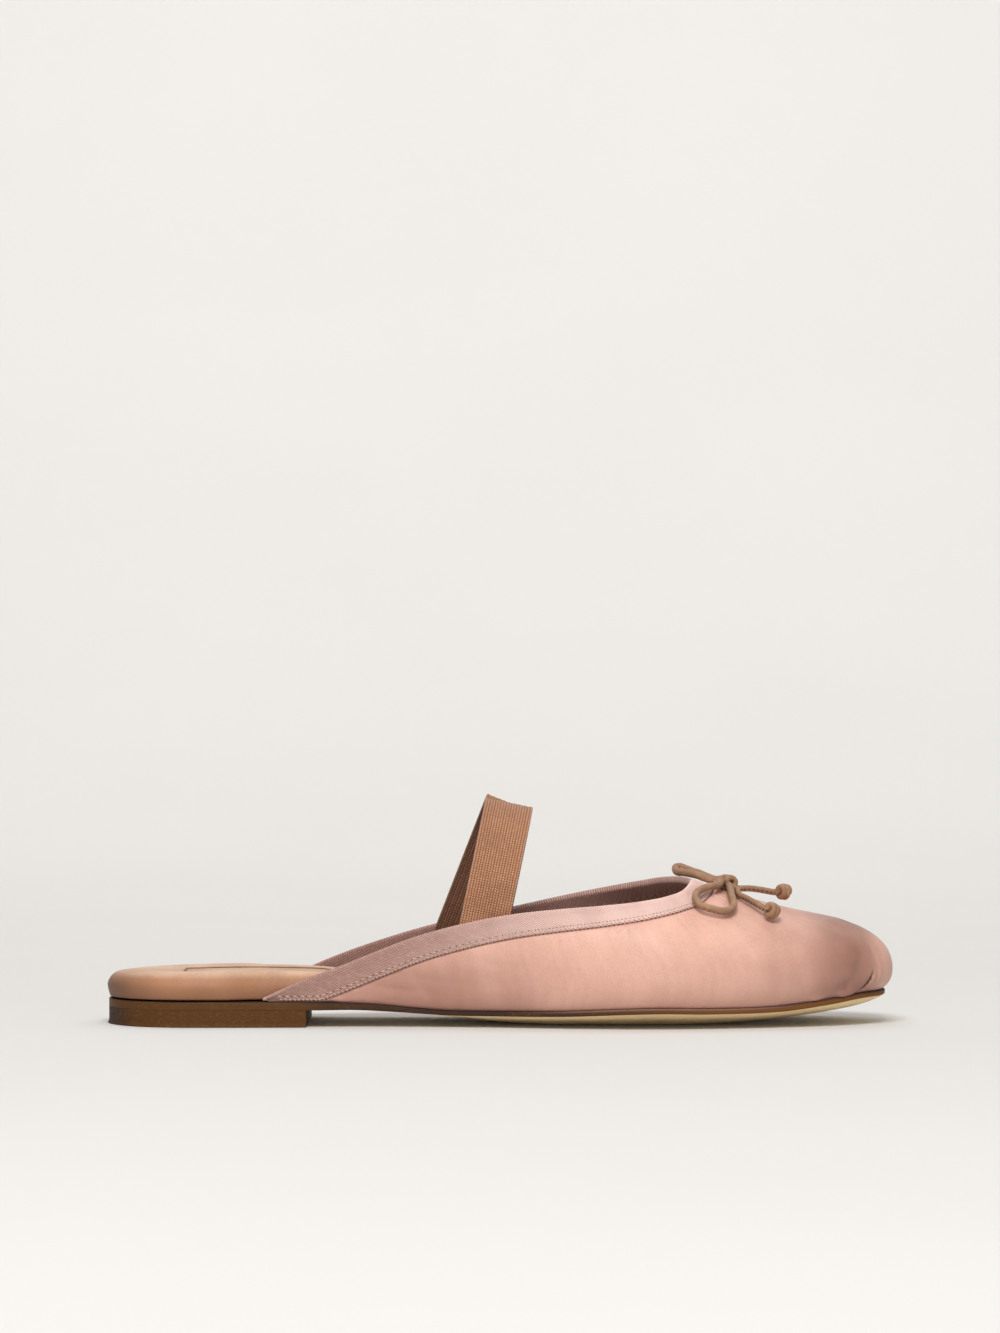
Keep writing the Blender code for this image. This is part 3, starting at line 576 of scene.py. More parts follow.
class Skin:
    """The satin's face along a set of columns that run from the collar down to the sole."""

    def __init__(self, last: Last, places: Array) -> None:
        """Traces the columns.

        Args:
            last: the shoe's form.
            places: column places, -1 at the outer back, 0 at the toe, 1 at the inner back.
        """
        self.last = last
        self.places = np.asarray(places, float)
        self.collar = last.edge_line(last.collar_point, last.collar_back, last.throat)
        self.belt = last.edge_line(last.belt_point, last.collar_back, last.length)
        self.foot = last.edge_line(last.foot_point, last.collar_back, last.sole_tip - last.lip)
        nudge = 2e-3
        self.sets = [self.trace(self.places + shift) for shift in (-nudge, 0, nudge)]
        self.totals = [self.cut_at_foot(lines) for lines, _ in self.sets]
        self.total = self.totals[1]

    @staticmethod
    def collar_place(places: Array) -> Array:
        """The place along the collar that belongs to a place along the sole."""
        return np.sign(places) * (1 - MATCH("collar", 1 - np.abs(places)))

    @staticmethod
    def curve_between(start: Array, way: Array, end: Array, count: int = 61) -> Array:
        """Inner points of a quadratic Bezier curve that leaves start along way.

        Args:
            start: (n, 2) starts.
            way: (n, 2) ways they leave.
            end: (n, 2) ends.
            count: points with both ends.

        Returns:
            (count - 2, n, 2) points.
        """
        w = np.sin(np.linspace(0, pi / 2, count))[1:-1, None, None]
        gap = np.linalg.norm(end - start, axis=-1, keepdims=True)
        bend = start + 0.4 * gap * unit(way)
        return (1 - w) ** 2 * start + 2 * w * (1 - w) * bend + w**2 * end

    def trace(self, places: Array) -> tuple[Array, Array]:
        """Dense lines from the collar square down past the ribbon, on to the belt and round
        the belly in to the sole.

        Args:
            places: column places.

        Returns:
            (n, k, 3) points of the lines, and the (n, 3) way each one starts.
        """
        last = self.last
        nudge = 1e-3
        at = self.collar_place
        along = unit(self.collar(at(places + nudge)) - self.collar(at(places - nudge)))
        points = [self.collar(at(places))]
        first = None
        for _ in range(last.march_steps):
            down = unit(np.cross(along, last.gradient(points[-1])))
            moved = points[-1] + last.march / last.march_steps * down
            for _ in range(2):
                slope = last.gradient(moved)
                far = last.off_surface(moved) / np.sum(slope**2, axis=-1)
                moved = moved - far[..., None] * slope
            first = down if first is None else first
            points.append(moved)
        belt, foot = self.belt(places), self.foot(places)
        vamp = self.curve_between(points[-1][:, :2], down[:, :2], belt[:, :2])
        vamp = np.dstack([vamp, last.vamp_height(vamp[..., 0], vamp[..., 1])])
        wall = self.curve_between(points[-1][:, ::2], down[:, ::2], belt[:, ::2])
        sides = [last.wall_y(wall[..., 0], wall[..., 1], side) for side in Side]
        wall_y = np.where(places < 0, sides[0], sides[1])
        wall = np.dstack([wall[..., 0], wall_y, wall[..., 1]])
        steep = (belt[:, 0] < np.where(places < 0, *last.steep_wall))[:, None]
        points += list(np.where(steep, wall, vamp))
        points.append(belt)
        for turn in np.linspace(0, last.lower_lobe, 17)[1:]:
            inwards = (1 - cos(turn)) / (1 - cos(last.lower_lobe))
            plan = belt[:, :2] + (foot - belt)[:, :2] * inwards
            drop = sin(turn) / sin(last.lower_lobe)
            points.append(np.column_stack([plan, belt[:, 2] + (foot - belt)[:, 2] * drop]))
        return np.stack(points, axis=1), first

    def cut_at_foot(self, lines: Array) -> Array:
        """Length of each column down to where it first reaches the foot of the wall.

        Args:
            lines: (n, k, 3) points of the columns.

        Returns:
            (n,) lengths.
        """
        along = lengths_along(lines)
        over = lines[..., 2] - self.last.foot_height(lines[..., 0])
        below = over <= 1e-6
        hit = np.where(below.any(axis=1), below.argmax(axis=1), lines.shape[1] - 1)
        rows = np.arange(len(lines))
        before = np.maximum(hit - 1, 0)
        drop = over[rows, before] - over[rows, hit]
        share = np.clip(over[rows, before] / np.maximum(drop, 1e-9), 0, 1)
        return along[rows, before] + share * (along[rows, hit] - along[rows, before])

    def at(self, depths: Array) -> tuple[Array, Array]:
        """Points and outward normals of the satin's face.

        Args:
            depths: (n, m) depths below the collar; under 0 is above it, in line with the wall.

        Returns:
            (n, m, 3) points and (n, m, 3) normals.
        """
        depths = np.broadcast_to(np.asarray(depths, float), (len(self.places), np.shape(depths)[-1]))
        total = self.total[:, None]
        below = np.clip(depths, 0, total)
        near = [
            read_lines(lines, below * (own / self.total)[:, None])
            for (lines, _), own in zip(self.sets, self.totals)
        ]
        small = 0.05
        ahead = read_lines(self.sets[1][0], np.minimum(below + small, total))
        behind = read_lines(self.sets[1][0], np.maximum(below - small, 0))
        normals = -unit(np.cross(near[2] - near[0], ahead - behind))
        points = near[1] + np.minimum(depths, 0)[..., None] * self.sets[1][1][:, None, :]
        return points, normals


# ---- surfaces to meshes
def cell_corners(grid: Array) -> Array:
    """The four corners of each cell of (i, n, k) grids, round the cell on the fourth axis."""
    return np.stack([grid[:, :-1, :-1], grid[:, :-1, 1:], grid[:, 1:, 1:], grid[:, 1:, :-1]], axis=3)


@dataclass
class Surface:
    """A grid of points with its texture places, or a batch of such grids."""

    points: Array  # (n, k, 3) in mm, or (i, n, k, 3) for i small shapes
    lay: Array | None = None  # (n, k, 2) texture places in mm, one more column where it wraps
    wraps: bool = False  # the k direction closes on itself
    capped: bool = False  # quads between mirrored points close both ends of a wrapped grid
    slot: int | Array = 0  # material slot, one number or one for each step of k
    crease_shade: Array | float = 0.0  # share of painted crease shade at each point, kept as a point attribute

    def parts(self) -> tuple[Array, Array, Array, Array]:
        """Points, quads, texture places at the quads' corners and material slots.

        Quads join neighbours of the grid; a cap joins point j of the ring to its mirror k-1-j.

        Returns:
            The four arrays, in the order named.
        """
        points = self.points if self.points.ndim == 4 else self.points[None]
        count, n, k = points.shape[:3]
        index = np.arange(count * n * k).reshape(count, n, k)
        wide = np.concatenate([index, index[..., :1]], axis=-1) if self.wraps else index
        if self.lay is None:
            lay = np.zeros(wide.shape + (2,))
        else:
            lay = np.broadcast_to(self.lay, (count, n) + self.lay.shape[-2:])
            if lay.shape[2] < wide.shape[2]:
                lay = np.concatenate([lay, lay[..., :1, :]], axis=-2)
        slots = np.broadcast_to(np.asarray(self.slot), (wide.shape[2] - 1,))
        quads = cell_corners(wide).reshape(-1, 4)
        places = cell_corners(lay).reshape(-1, 4, 2)
        slots = np.broadcast_to(slots, (count, n - 1, len(slots))).reshape(-1)
        if self.capped:
            half = k // 2
            for end, flip in ((0, 1), (n - 1, -1)):
                cap, cap_lay = (
                    cell_corners(np.stack([grid[:, end, :half], grid[:, end, k - 1 : half - 1 : -1]], 2))
                    for grid in (index, lay)
                )
                quads = np.concatenate([quads, cap[..., ::flip].reshape(-1, 4)])
                places = np.concatenate([places, cap_lay[..., ::flip, :].reshape(-1, 4, 2)])
                slots = np.concatenate([slots, np.full(cap.size // 4, slots[0])])
        return points.reshape(-1, 3), quads, places, slots


def points_of(mesh: bpy.types.Mesh) -> Array:
    """A mesh's points in mm on the last's own axes."""
    flat = np.empty(3 * len(mesh.vertices), np.float32)
    mesh.vertices.foreach_get("co", flat)
    return flat.reshape(-1, 3).astype(float) / MM + SHOE_MIDDLE


def put_points(mesh: bpy.types.Mesh, points: Array) -> None:
    """Puts a mesh's points at places in mm on the last's own axes."""
    mesh.vertices.foreach_set("co", ((points - SHOE_MIDDLE) * MM).astype(np.float32).ravel())


def in_scene(name: str, data: bpy.types.ID) -> Piece:
    """A new object in the scene."""
    made = bpy.data.objects.new(name, data)
    bpy.context.scene.collection.objects.link(made)
    return made


def make_piece(
    name: str, surfaces: Sequence[Surface], materials: Sequence[Material], sharp_degrees: float = 45.0
) -> Piece:
    """Puts surfaces into one mesh, welds their seams and poles and turns every face outwards.

    Args:
        name: the piece's name.
        surfaces: the grids.
        materials: its material slots in order.
        sharp_degrees: edges sharper than this stay sharp in the shading.

    Returns:
        The object, in metres, with its place in its mesh.
    """
    points, quads, places, slots = zip(*(surface.parts() for surface in surfaces))
    starts = np.cumsum([0] + [len(part) for part in points[:-1]])
    quads = np.concatenate([part + start for part, start in zip(quads, starts)])
    points, places, slots = map(np.concatenate, (points, places, slots))
    mesh = bpy.data.meshes.new(name)
    mesh.vertices.add(len(points))
    put_points(mesh, points)
    mesh.loops.add(quads.size)
    mesh.loops.foreach_set("vertex_index", quads.astype(np.int32).ravel())
    mesh.polygons.add(len(quads))
    mesh.polygons.foreach_set("loop_start", np.arange(0, quads.size, 4, dtype=np.int32))
    mesh.polygons.foreach_set("material_index", slots.astype(np.int32))
    mesh.update(calc_edges=True)
    # painted crease shade of each point, kept as a point attribute
    crease_shade = [np.broadcast_to(surface.crease_shade, surface.points.shape[:-1]).ravel() for surface in surfaces]
    if any(part.any() for part in crease_shade):
        worn = mesh.attributes.new("crease_shade", "FLOAT", "POINT")
        worn.data.foreach_set("value", np.concatenate(crease_shade).astype(np.float32))
    lay = mesh.uv_layers.new(name="lay")
    lay.uv.foreach_set("vector", places.astype(np.float32).ravel())
    shell = bmesh.new()
    shell.from_mesh(mesh)
    bmesh.ops.remove_doubles(shell, verts=shell.verts, dist=4e-7)
    bmesh.ops.recalc_face_normals(shell, faces=shell.faces)
    shell.to_mesh(mesh)
    shell.free()
    for material in materials:
        mesh.materials.append(material)
    mesh.shade_smooth()
    mesh.set_sharp_from_angle(angle=radians(sharp_degrees))
    return in_scene(name, mesh)


@dataclass(frozen=True)
class CordSection:
    """Cross-section of a cord: its radius, how it is flattened, and a sewn groove along it."""

    radius: float
    flat: float = 1.0  # height over width
    groove: float = 0.0  # depth of the groove
    groove_at: float = radians(-90.0)
    groove_width: float = radians(16.0)
    sides: int = 16

    def ring(self) -> tuple[Array, Array]:
        """Sideways and upward reach of the section's points. The radius dips by the groove's
        depth in a bell round the groove's angle.

        Returns:
            Both reaches, one number a point.
        """
        turn = np.linspace(0, 2 * pi, self.sides, endpoint=False)
        off = (turn - self.groove_at + pi) % (2 * pi) - pi
        reach = self.radius - self.groove * np.exp(-((off / self.groove_width) ** 2))
        return reach * np.cos(turn), self.flat * reach * np.sin(turn)


def frames_along(path: Array, up: Array) -> tuple[Array, Array, Array]:
    """The way, sideways and upward directions along a path, up being where the section's top
    should point.

    Args:
        path: (n, 3) points.
        up: (n, 3) or (3,) directions.

    Returns:
        Three (n, 3) sets of directions.
    """
    run = unit(np.gradient(path, axis=0))
    side = unit(np.cross(run, np.broadcast_to(up, path.shape)))
    return run, side, np.cross(side, run)


def tube(path: Array, up: Array, section: CordSection, fat: Array | float = 1.0) -> Surface:
    """A closed tube: the section carried along the path, its ends drawn in to soft domes.

    Args:
        path: (n, 3) ring centres.
        up: (n, 3) or (3,) direction of the section's top.
        section: the cross-section.
        fat: scale of the section at each ring.

    Returns:
        The surface, with places (length along, turn round) in mm.
    """
    _, side, top = frames_along(path, up)
    across, lift = section.ring()
    scale = np.broadcast_to(np.asarray(fat, float), (len(path),))[:, None, None]
    offset = across[None, :, None] * side[:, None] + lift[None, :, None] * top[:, None]
    points = path[:, None] + scale * offset
    along = lengths_along(path)
    round_it = np.linspace(0, 2 * pi * section.radius, section.sides + 1)
    return Surface(points, crossed(along[:, None], round_it[None, :]), wraps=True, capped=True)


def stitches(
    places: Array, along: Array, up: Array, length: float, radius: float, slot: int = 0
) -> Surface:
    """Short threads laid one after another: each is a bead long in its way and bowed up in
    the middle, with six sides and five rings.

    Args:
        places: (i, 3) middles.
        along: (i, 3) ways they lie.
        up: (i, 3) directions they stand out.
        length: length of each.
        radius: half its thickness.
        slot: material slot.

    Returns:
        The surface with a batch of closed beads.
    """
    t = np.linspace(-1, 1, 5)[:, None]
    turn = np.linspace(0, 2 * pi, 6, endpoint=False)[None, :]
    swell = radius * np.sqrt(np.maximum(1 - np.abs(t) ** 3, 0))
    run = unit(along)
    side = unit(np.cross(run, up))
    top = np.cross(side, run)
    height = 0.7 * swell * np.sin(turn) - 0.35 * radius * t**2
    local = crossed(0.5 * length * t, swell * np.cos(turn), height)
    frame = np.stack([run, side, top], axis=1)
    points = places[:, None, None, :] + np.einsum("nkc,icd->inkd", local, frame)
    return Surface(points, wraps=True, slot=slot)


def share_rows(rows: Array, at: Sequence[float], values: Array) -> Array:
    """Straight steps between knots: row numbers to depths, with each column's own knots.

    Args:
        rows: (m,) row numbers.
        at: (q,) rows of the knots.
        values: (n, q) depths at the knots.

    Returns:
        (n, m) depths.
    """
    at = np.asarray(at, float)
    i = np.clip(np.searchsorted(at, rows, side="right") - 1, 0, len(at) - 2)
    t = (rows - at[i]) / (at[i + 1] - at[i])
    return values[:, i] * (1 - t) + values[:, i + 1] * t


def outwards(loop: Array) -> Array:
    """Outward normals of a closed plan outline."""
    run = np.roll(loop, -1, axis=0) - np.roll(loop, 1, axis=0)
    return unit(np.stack([run[:, 1], -run[:, 0]], axis=-1))


@dataclass(frozen=True)
class Ring:
    """A closed plan outline with its outward normals and its partner on the middle line."""

    loop: Array
    normals: Array
    axis: Array

    @classmethod
    def of(cls, x: Array, width_at: Callable[[Array, Side], Array], end_reach: float) -> "Ring":
        """Builds the outline through the stations x: out along the lateral side, home along
        the medial side.

        Args:
            x: stations from back to tip.
            width_at: half width at stations on a side.
            end_reach: how far the middle line stays from the ends.

        Returns:
            The ring.
        """
        centre = PLAN("centre", x)
        sides = [np.stack([x, centre + side.sign * width_at(x, side)], axis=-1) for side in Side]
        loop = np.concatenate([sides[0], sides[1][-2:0:-1]])
        share = (loop[:, 0] - x[0]) / (x[-1] - x[0])
        axis_x = x[0] + end_reach + share * (x[-1] - x[0] - 2 * end_reach)
        axis = np.stack([axis_x, PLAN("centre", axis_x)], axis=-1)
        return cls(loop, outwards(loop), axis)

    def towards(self, loop: Array, share: float) -> Array:
        """Plan points at a share of the way from the middle line out to a loop."""
        return self.axis + (loop - self.axis) * share

    def inset(self, by: float | Array) -> Array:
        """The loop moved inwards."""
        return self.loop - np.asarray(by, float).reshape(-1, 1) * self.normals


def end_spaced(first: float, last: float, count: int) -> Array:
    """Stations that crowd towards both round ends, by a cosine."""
    turn = np.linspace(0, pi, count)
    return 0.5 * (first + last) - 0.5 * (last - first) * np.cos(turn)


def at_height(plan: Array, z: Array | float) -> Array:
    """Plan points at a height, or each at its own."""
    return np.column_stack([plan, np.broadcast_to(z, len(plan))])


def with_height(plan: Array, height: Callable[[Array, Array], Array]) -> Array:
    """Plan points lifted to a height that depends on x and y."""
    return at_height(plan, height(*plan.T))


def ring_surface(rings: Sequence[Array], slot: int = 0) -> Surface:
    """A closed body from rings that start and end folded on a middle line. Its texture places
    are the x and y of its points."""
    points = np.stack(rings)
    return Surface(points, points[..., :2], wraps=True, slot=slot)


# ---- node plumbing
Socket = bpy.types.NodeSocket
Value = float | tuple | Socket


def srgb(red: int, green: int, blue: int) -> tuple[float, float, float, float]:
    """A colour given in display values from 0 to 255, as linear light with alpha 1."""
    c = np.array([red, green, blue]) / 255
    linear = np.where(c <= 0.04045, c / 12.92, ((c + 0.055) / 1.055) ** 2.4)
    return (*linear.tolist(), 1)


class Graph:
    """A node tree being filled."""

    def __init__(self, tree: bpy.types.NodeTree) -> None:
        """Keeps the tree."""
        self.tree = tree

    def node(self, kind: str, inputs: dict | None = None, **settings: object) -> bpy.types.Node:
        """Adds a node.

        Args:
            kind: its type without the ShaderNode prefix.
            inputs: values or sockets for its inputs, by name or number.
            settings: its properties.

        Returns:
            The node.
        """
        made = self.tree.nodes.new("ShaderNode" + kind)
        for name, value in settings.items():
            setattr(made, name, value)
        for key, value in (inputs or {}).items():
            self.put(made.inputs[key], value)
        return made

    def put(self, socket: Socket, value: Value) -> None:
        """Links a socket, or sets its own value."""
        if isinstance(value, bpy.types.NodeSocket):
            self.tree.links.new(value, socket)
        else:
            socket.default_value = value

    def math(self, operation: str, *values: Value) -> Socket:
        """A Math node's result."""
        made = self.node("Math", dict(enumerate(values)), operation=operation)
        return made.outputs[0]

    def times(self, *values: Value) -> Socket:
        """A product."""
        return self.math("MULTIPLY", *values)

    def plus(self, *values: Value) -> Socket:
        """A sum."""
        return self.math("ADD", *values)

    def vector(self, operation: str, *values: Value) -> Socket:
        """A Vector Math node's result."""
        made = self.node("VectorMath", dict(enumerate(values)), operation=operation)
        return made.outputs[1 if operation in ("LENGTH", "DISTANCE", "DOT_PRODUCT") else 0]

    def split(self, vector: Value) -> tuple[Socket, Socket, Socket]:
        """The three parts of a vector."""
        made = self.node("SeparateXYZ", {0: vector})
        return tuple(made.outputs)

    def join(self, *values: Value) -> Socket:
        """A vector from up to three parts."""
        return self.node("CombineXYZ", dict(enumerate(values))).outputs[0]

    def mix(self, factor: Value, first: Value, second: Value, blend: str = "MIX") -> Socket:
        """A mix of two colours."""
        made = self.node("Mix", {0: factor, 6: first, 7: second}, data_type="RGBA", blend_type=blend)
        return made.outputs[2]

    def spread(
        self, value: Value, low: float, high: float, first: float = 0, second: float = 1
    ) -> Socket:
        """Maps low..high to first..second along a smooth S, held at both ends."""
        inputs = dict(enumerate((value, low, high, first, second)))
        return self.node("MapRange", inputs, interpolation_type="SMOOTHSTEP").outputs[0]

    def tint(self, tone: Value, colour: Value, value: Value, *spread: float) -> Socket:
        """A tone turned towards a colour by the share that spread makes of a value."""
        return self.mix(self.spread(value, *spread), tone, colour)

    def noise(self, vector: Value, scale: float, detail: float = 3.0, rough: float = 0.5) -> Socket:
        """Noise from about 0 to 1."""
        inputs = {"Vector": vector, "Scale": scale, "Detail": detail, "Roughness": rough}
        return self.node("TexNoise", inputs).outputs[0]

    def place(self) -> Socket:
        """The surface point in the object's own coordinates, in mm."""
        made = self.node("TexCoord")
        return self.vector("MULTIPLY", made.outputs["Object"], (1000, 1000, 1000))

    def lay(self) -> Socket:
        """The piece's own texture places in mm."""
        return self.node("UVMap", uv_map="lay").outputs[0]

    def attribute(self, name: str) -> Socket:
        """A number kept at the mesh's own vertices."""
        return self.node("Attribute", attribute_name=name).outputs["Fac"]

    def bump(
        self, height: Value, distance: float, strength: float = 1.0, under: Value | None = None
    ) -> Socket:
        """A bump from a height of 0 to 1, distance in mm."""
        inputs = {"Height": height, "Distance": distance * MM, "Strength": strength}
        if under is not None:
            inputs["Normal"] = under
        return self.node("Bump", inputs).outputs[0]


class Effect:
    """A shared node group, built once and used by several finishes."""

    name: str = ""
    takes: dict[str, float | tuple] = {}

    @classmethod
    def tree(cls) -> bpy.types.NodeTree:
        """The group's tree, made at its first use.

        Returns:
            The tree.
        """
        found = bpy.data.node_groups.get(cls.name)
        if found:
            return found
        tree = bpy.data.node_groups.new(cls.name, "ShaderNodeTree")
        for name, value in cls.takes.items():
            kind = "NodeSocketVector" if isinstance(value, tuple) else "NodeSocketFloat"
            tree.interface.new_socket(name, in_out="INPUT", socket_type=kind).default_value = value
        graph = Graph(tree)
        given = cls.fill(graph, tree.nodes.new("NodeGroupInput").outputs)
        for name in given:
            tree.interface.new_socket(name, in_out="OUTPUT", socket_type="NodeSocketFloat")
        for socket, value in zip(tree.nodes.new("NodeGroupOutput").inputs, given.values()):
            graph.put(socket, value)
        return tree

    @classmethod
    def fill(cls, graph: Graph, taken: Sequence[Socket]) -> dict[str, Socket]:
        """Fills the group with its nodes and names what it gives.

        Args:
            graph: the group's graph.
            taken: its inputs.

        Returns:
            Outputs by name.
        """
        raise NotImplementedError

    @classmethod
    def use(cls, graph: Graph, **inputs: Value) -> Sequence[Socket]:
        """Adds the group to a graph.

        Args:
            graph: where it goes.
            inputs: values or sockets by name.

        Returns:
            What the group gives.
        """
        made = graph.tree.nodes.new("ShaderNodeGroup")
        made.node_tree = cls.tree()
        for name, value in inputs.items():
            graph.put(made.inputs[name], value)
        return made.outputs


class ThreadRibs(Effect):
    """Parallel ribs of thread across u, each broken along v into short turns of yarn.

    Height is a half wave across each rib, times a wave along it that is shifted by half a
    turn from one rib to the next; Break sets how deep that second wave goes, and Lean how far
    a turn climbs across its rib, up one rib and down the next."""

    name = "thread ribs"
    takes = {"Lay": (0.0, 0.0, 0.0), "Rib": 1.0, "Turn": 1.0, "Break": 1.0, "Lean": 0.0}

    @classmethod
    def fill(cls, graph: Graph, taken: Sequence[Socket]) -> dict[str, Socket]:
        """Fills the group with its nodes and names what it gives."""
        u, v, _ = graph.split(taken["Lay"])
        rib = graph.math("DIVIDE", u, taken["Rib"])
        number = graph.math("FLOOR", rib)
        across = graph.math("FRACT", rib)
        bow = graph.math("SINE", graph.times(across, pi))
        shift = graph.times(graph.math("FLOORED_MODULO", number, 2), 0.5)
        turn = graph.plus(graph.math("DIVIDE", v, taken["Turn"]), shift)
        climb = graph.times(across, graph.math("SUBTRACT", graph.times(shift, 4), 1))
        turn = graph.plus(turn, graph.times(climb, taken["Lean"]))
        wobble = graph.noise(graph.join(number, graph.times(turn, 0.35), 0), 1.7, 2)
        turn = graph.plus(turn, graph.times(wobble, 0.35))
        wave = graph.math("SINE", graph.times(graph.math("FRACT", turn), pi))
        dip = graph.times(graph.math("SUBTRACT", 1, graph.math("POWER", wave, 0.5)), taken["Break"])
        height = graph.times(graph.math("POWER", bow, 0.6), graph.math("SUBTRACT", 1, dip))
        yarn = graph.noise(graph.join(number, graph.math("FLOOR", turn), 3), 5.3, 1)
        return {"Height": height, "Groove": graph.math("SUBTRACT", 1, height), "Yarn": yarn}


class Streaks(Effect):
    """Fine uneven lines that run along v: noise stretched along it at two widths."""

    name = "thread streaks"
    takes = {"Lay": (0.0, 0.0, 0.0), "Width": 0.3, "Length": 12.0}

    @classmethod
    def fill(cls, graph: Graph, taken: Sequence[Socket]) -> dict[str, Socket]:
        """Fills the group with its nodes and names what it gives."""
        u, v, _ = graph.split(taken["Lay"])
        u, v = graph.math("DIVIDE", u, taken["Width"]), graph.math("DIVIDE", v, taken["Length"])
        fine = graph.join(u, v, 0)
        broad = graph.vector("MULTIPLY", fine, (0.16, 0.4, 1))
        return {"Height": graph.noise(fine, 1, 2), "Soft": graph.noise(broad, 1, 3)}


class LeatherGrain(Effect):
    """Small pebbled cells with creases between them, over a broad unevenness."""

    name = "leather grain"
    takes = {"Place": (0.0, 0.0, 0.0), "Cell": 0.8}

    @classmethod
    def fill(cls, graph: Graph, taken: Sequence[Socket]) -> dict[str, Socket]:
        """Fills the group with its nodes and names what it gives."""
        cells = graph.vector("DIVIDE", taken["Place"], graph.join(*[taken["Cell"]] * 3))
        bend = graph.node("TexNoise", {"Vector": cells, "Scale": 0.9, "Detail": 2}).outputs[1]
        bent = graph.vector("ADD", cells, graph.vector("MULTIPLY", bend, (0.9, 0.9, 0.9)))
        inputs = {"Vector": bent, "Scale": 1}
        edge = graph.node("TexVoronoi", inputs, feature="DISTANCE_TO_EDGE").outputs[0]
        pebble = graph.spread(edge, 0, 0.22)
        fine = graph.noise(cells, 4.5, 4, 0.6)
        height = graph.plus(graph.times(pebble, 0.7), graph.times(fine, 0.3))
        broad = graph.noise(taken["Place"], 0.055, 4, 0.55)
        return {"Height": height, "Broad": broad, "Fine": fine}


class FibreFlecks(Effect):
    """Flecks of fibre pressed into board: two sizes of cells, kept where their own chance is
    high."""

    name = "fibre flecks"
    takes = {"Place": (0.0, 0.0, 0.0)}

    @classmethod
    def fill(cls, graph: Graph, taken: Sequence[Socket]) -> dict[str, Socket]:
        """Fills the group with its nodes and names what it gives."""
        flat = graph.vector("MULTIPLY", taken["Place"], (1, 1, 2.2))
        fleck = graph.noise(flat, 1, 4, 0.75)
        grit = graph.noise(flat, 1.9, 3, 0.7)
        light = graph.spread(fleck, 0.54, 0.68)
        return {"Light": light, "Dark": graph.spread(grit, 0.56, 0.7), "Height": grit}


class Scuffs(Effect):
    """Where a surface is rubbed or dusty: broad clouds broken up by fine noise."""

    name = "scuffs"
    takes = {"Place": (0.0, 0.0, 0.0), "Amount": 0.5}

    @classmethod
    def fill(cls, graph: Graph, taken: Sequence[Socket]) -> dict[str, Socket]:
        """Fills the group with its nodes and names what it gives."""
        cloud = graph.noise(taken["Place"], 0.09, 3)
        grit = graph.noise(taken["Place"], 1.1, 5, 0.7)
        cloud = graph.spread(cloud, 0.42, 0.66)
        both = graph.times(cloud, graph.spread(grit, 0.45, 0.62))
        return {"Mask": graph.times(both, taken["Amount"])}


# ---- finishes
@dataclass(frozen=True)
class Finish:
    """A material: constants on its own shader, and what varies from its node graph."""

    name: str
    roughness: float = 0.6
    specular: float = 0.5
    sheen: float = 0.0
    sheen_roughness: float = 0.4

    def build(self) -> Material:
        """Makes the material.

        Returns:
            The material.
        """
        made = bpy.data.materials.new(self.name)
        made.use_nodes = True
        graph = Graph(made.node_tree)
        shader = made.node_tree.nodes["Principled BSDF"].inputs
        held = {
            "Roughness": self.roughness,
            "Specular IOR Level": self.specular,
            "Sheen Weight": self.sheen,
            "Sheen Roughness": self.sheen_roughness,
        }
        for name, value in (held | self.paint(graph)).items():
            graph.put(shader[name], value)
        return made

    def paint(self, graph: Graph) -> dict[str, Socket]:
        """What varies over the surface, by the shader's own names.

        Args:
            graph: the material's graph.

        Returns:
            Values for the shader's inputs, by name.
        """
        raise NotImplementedError


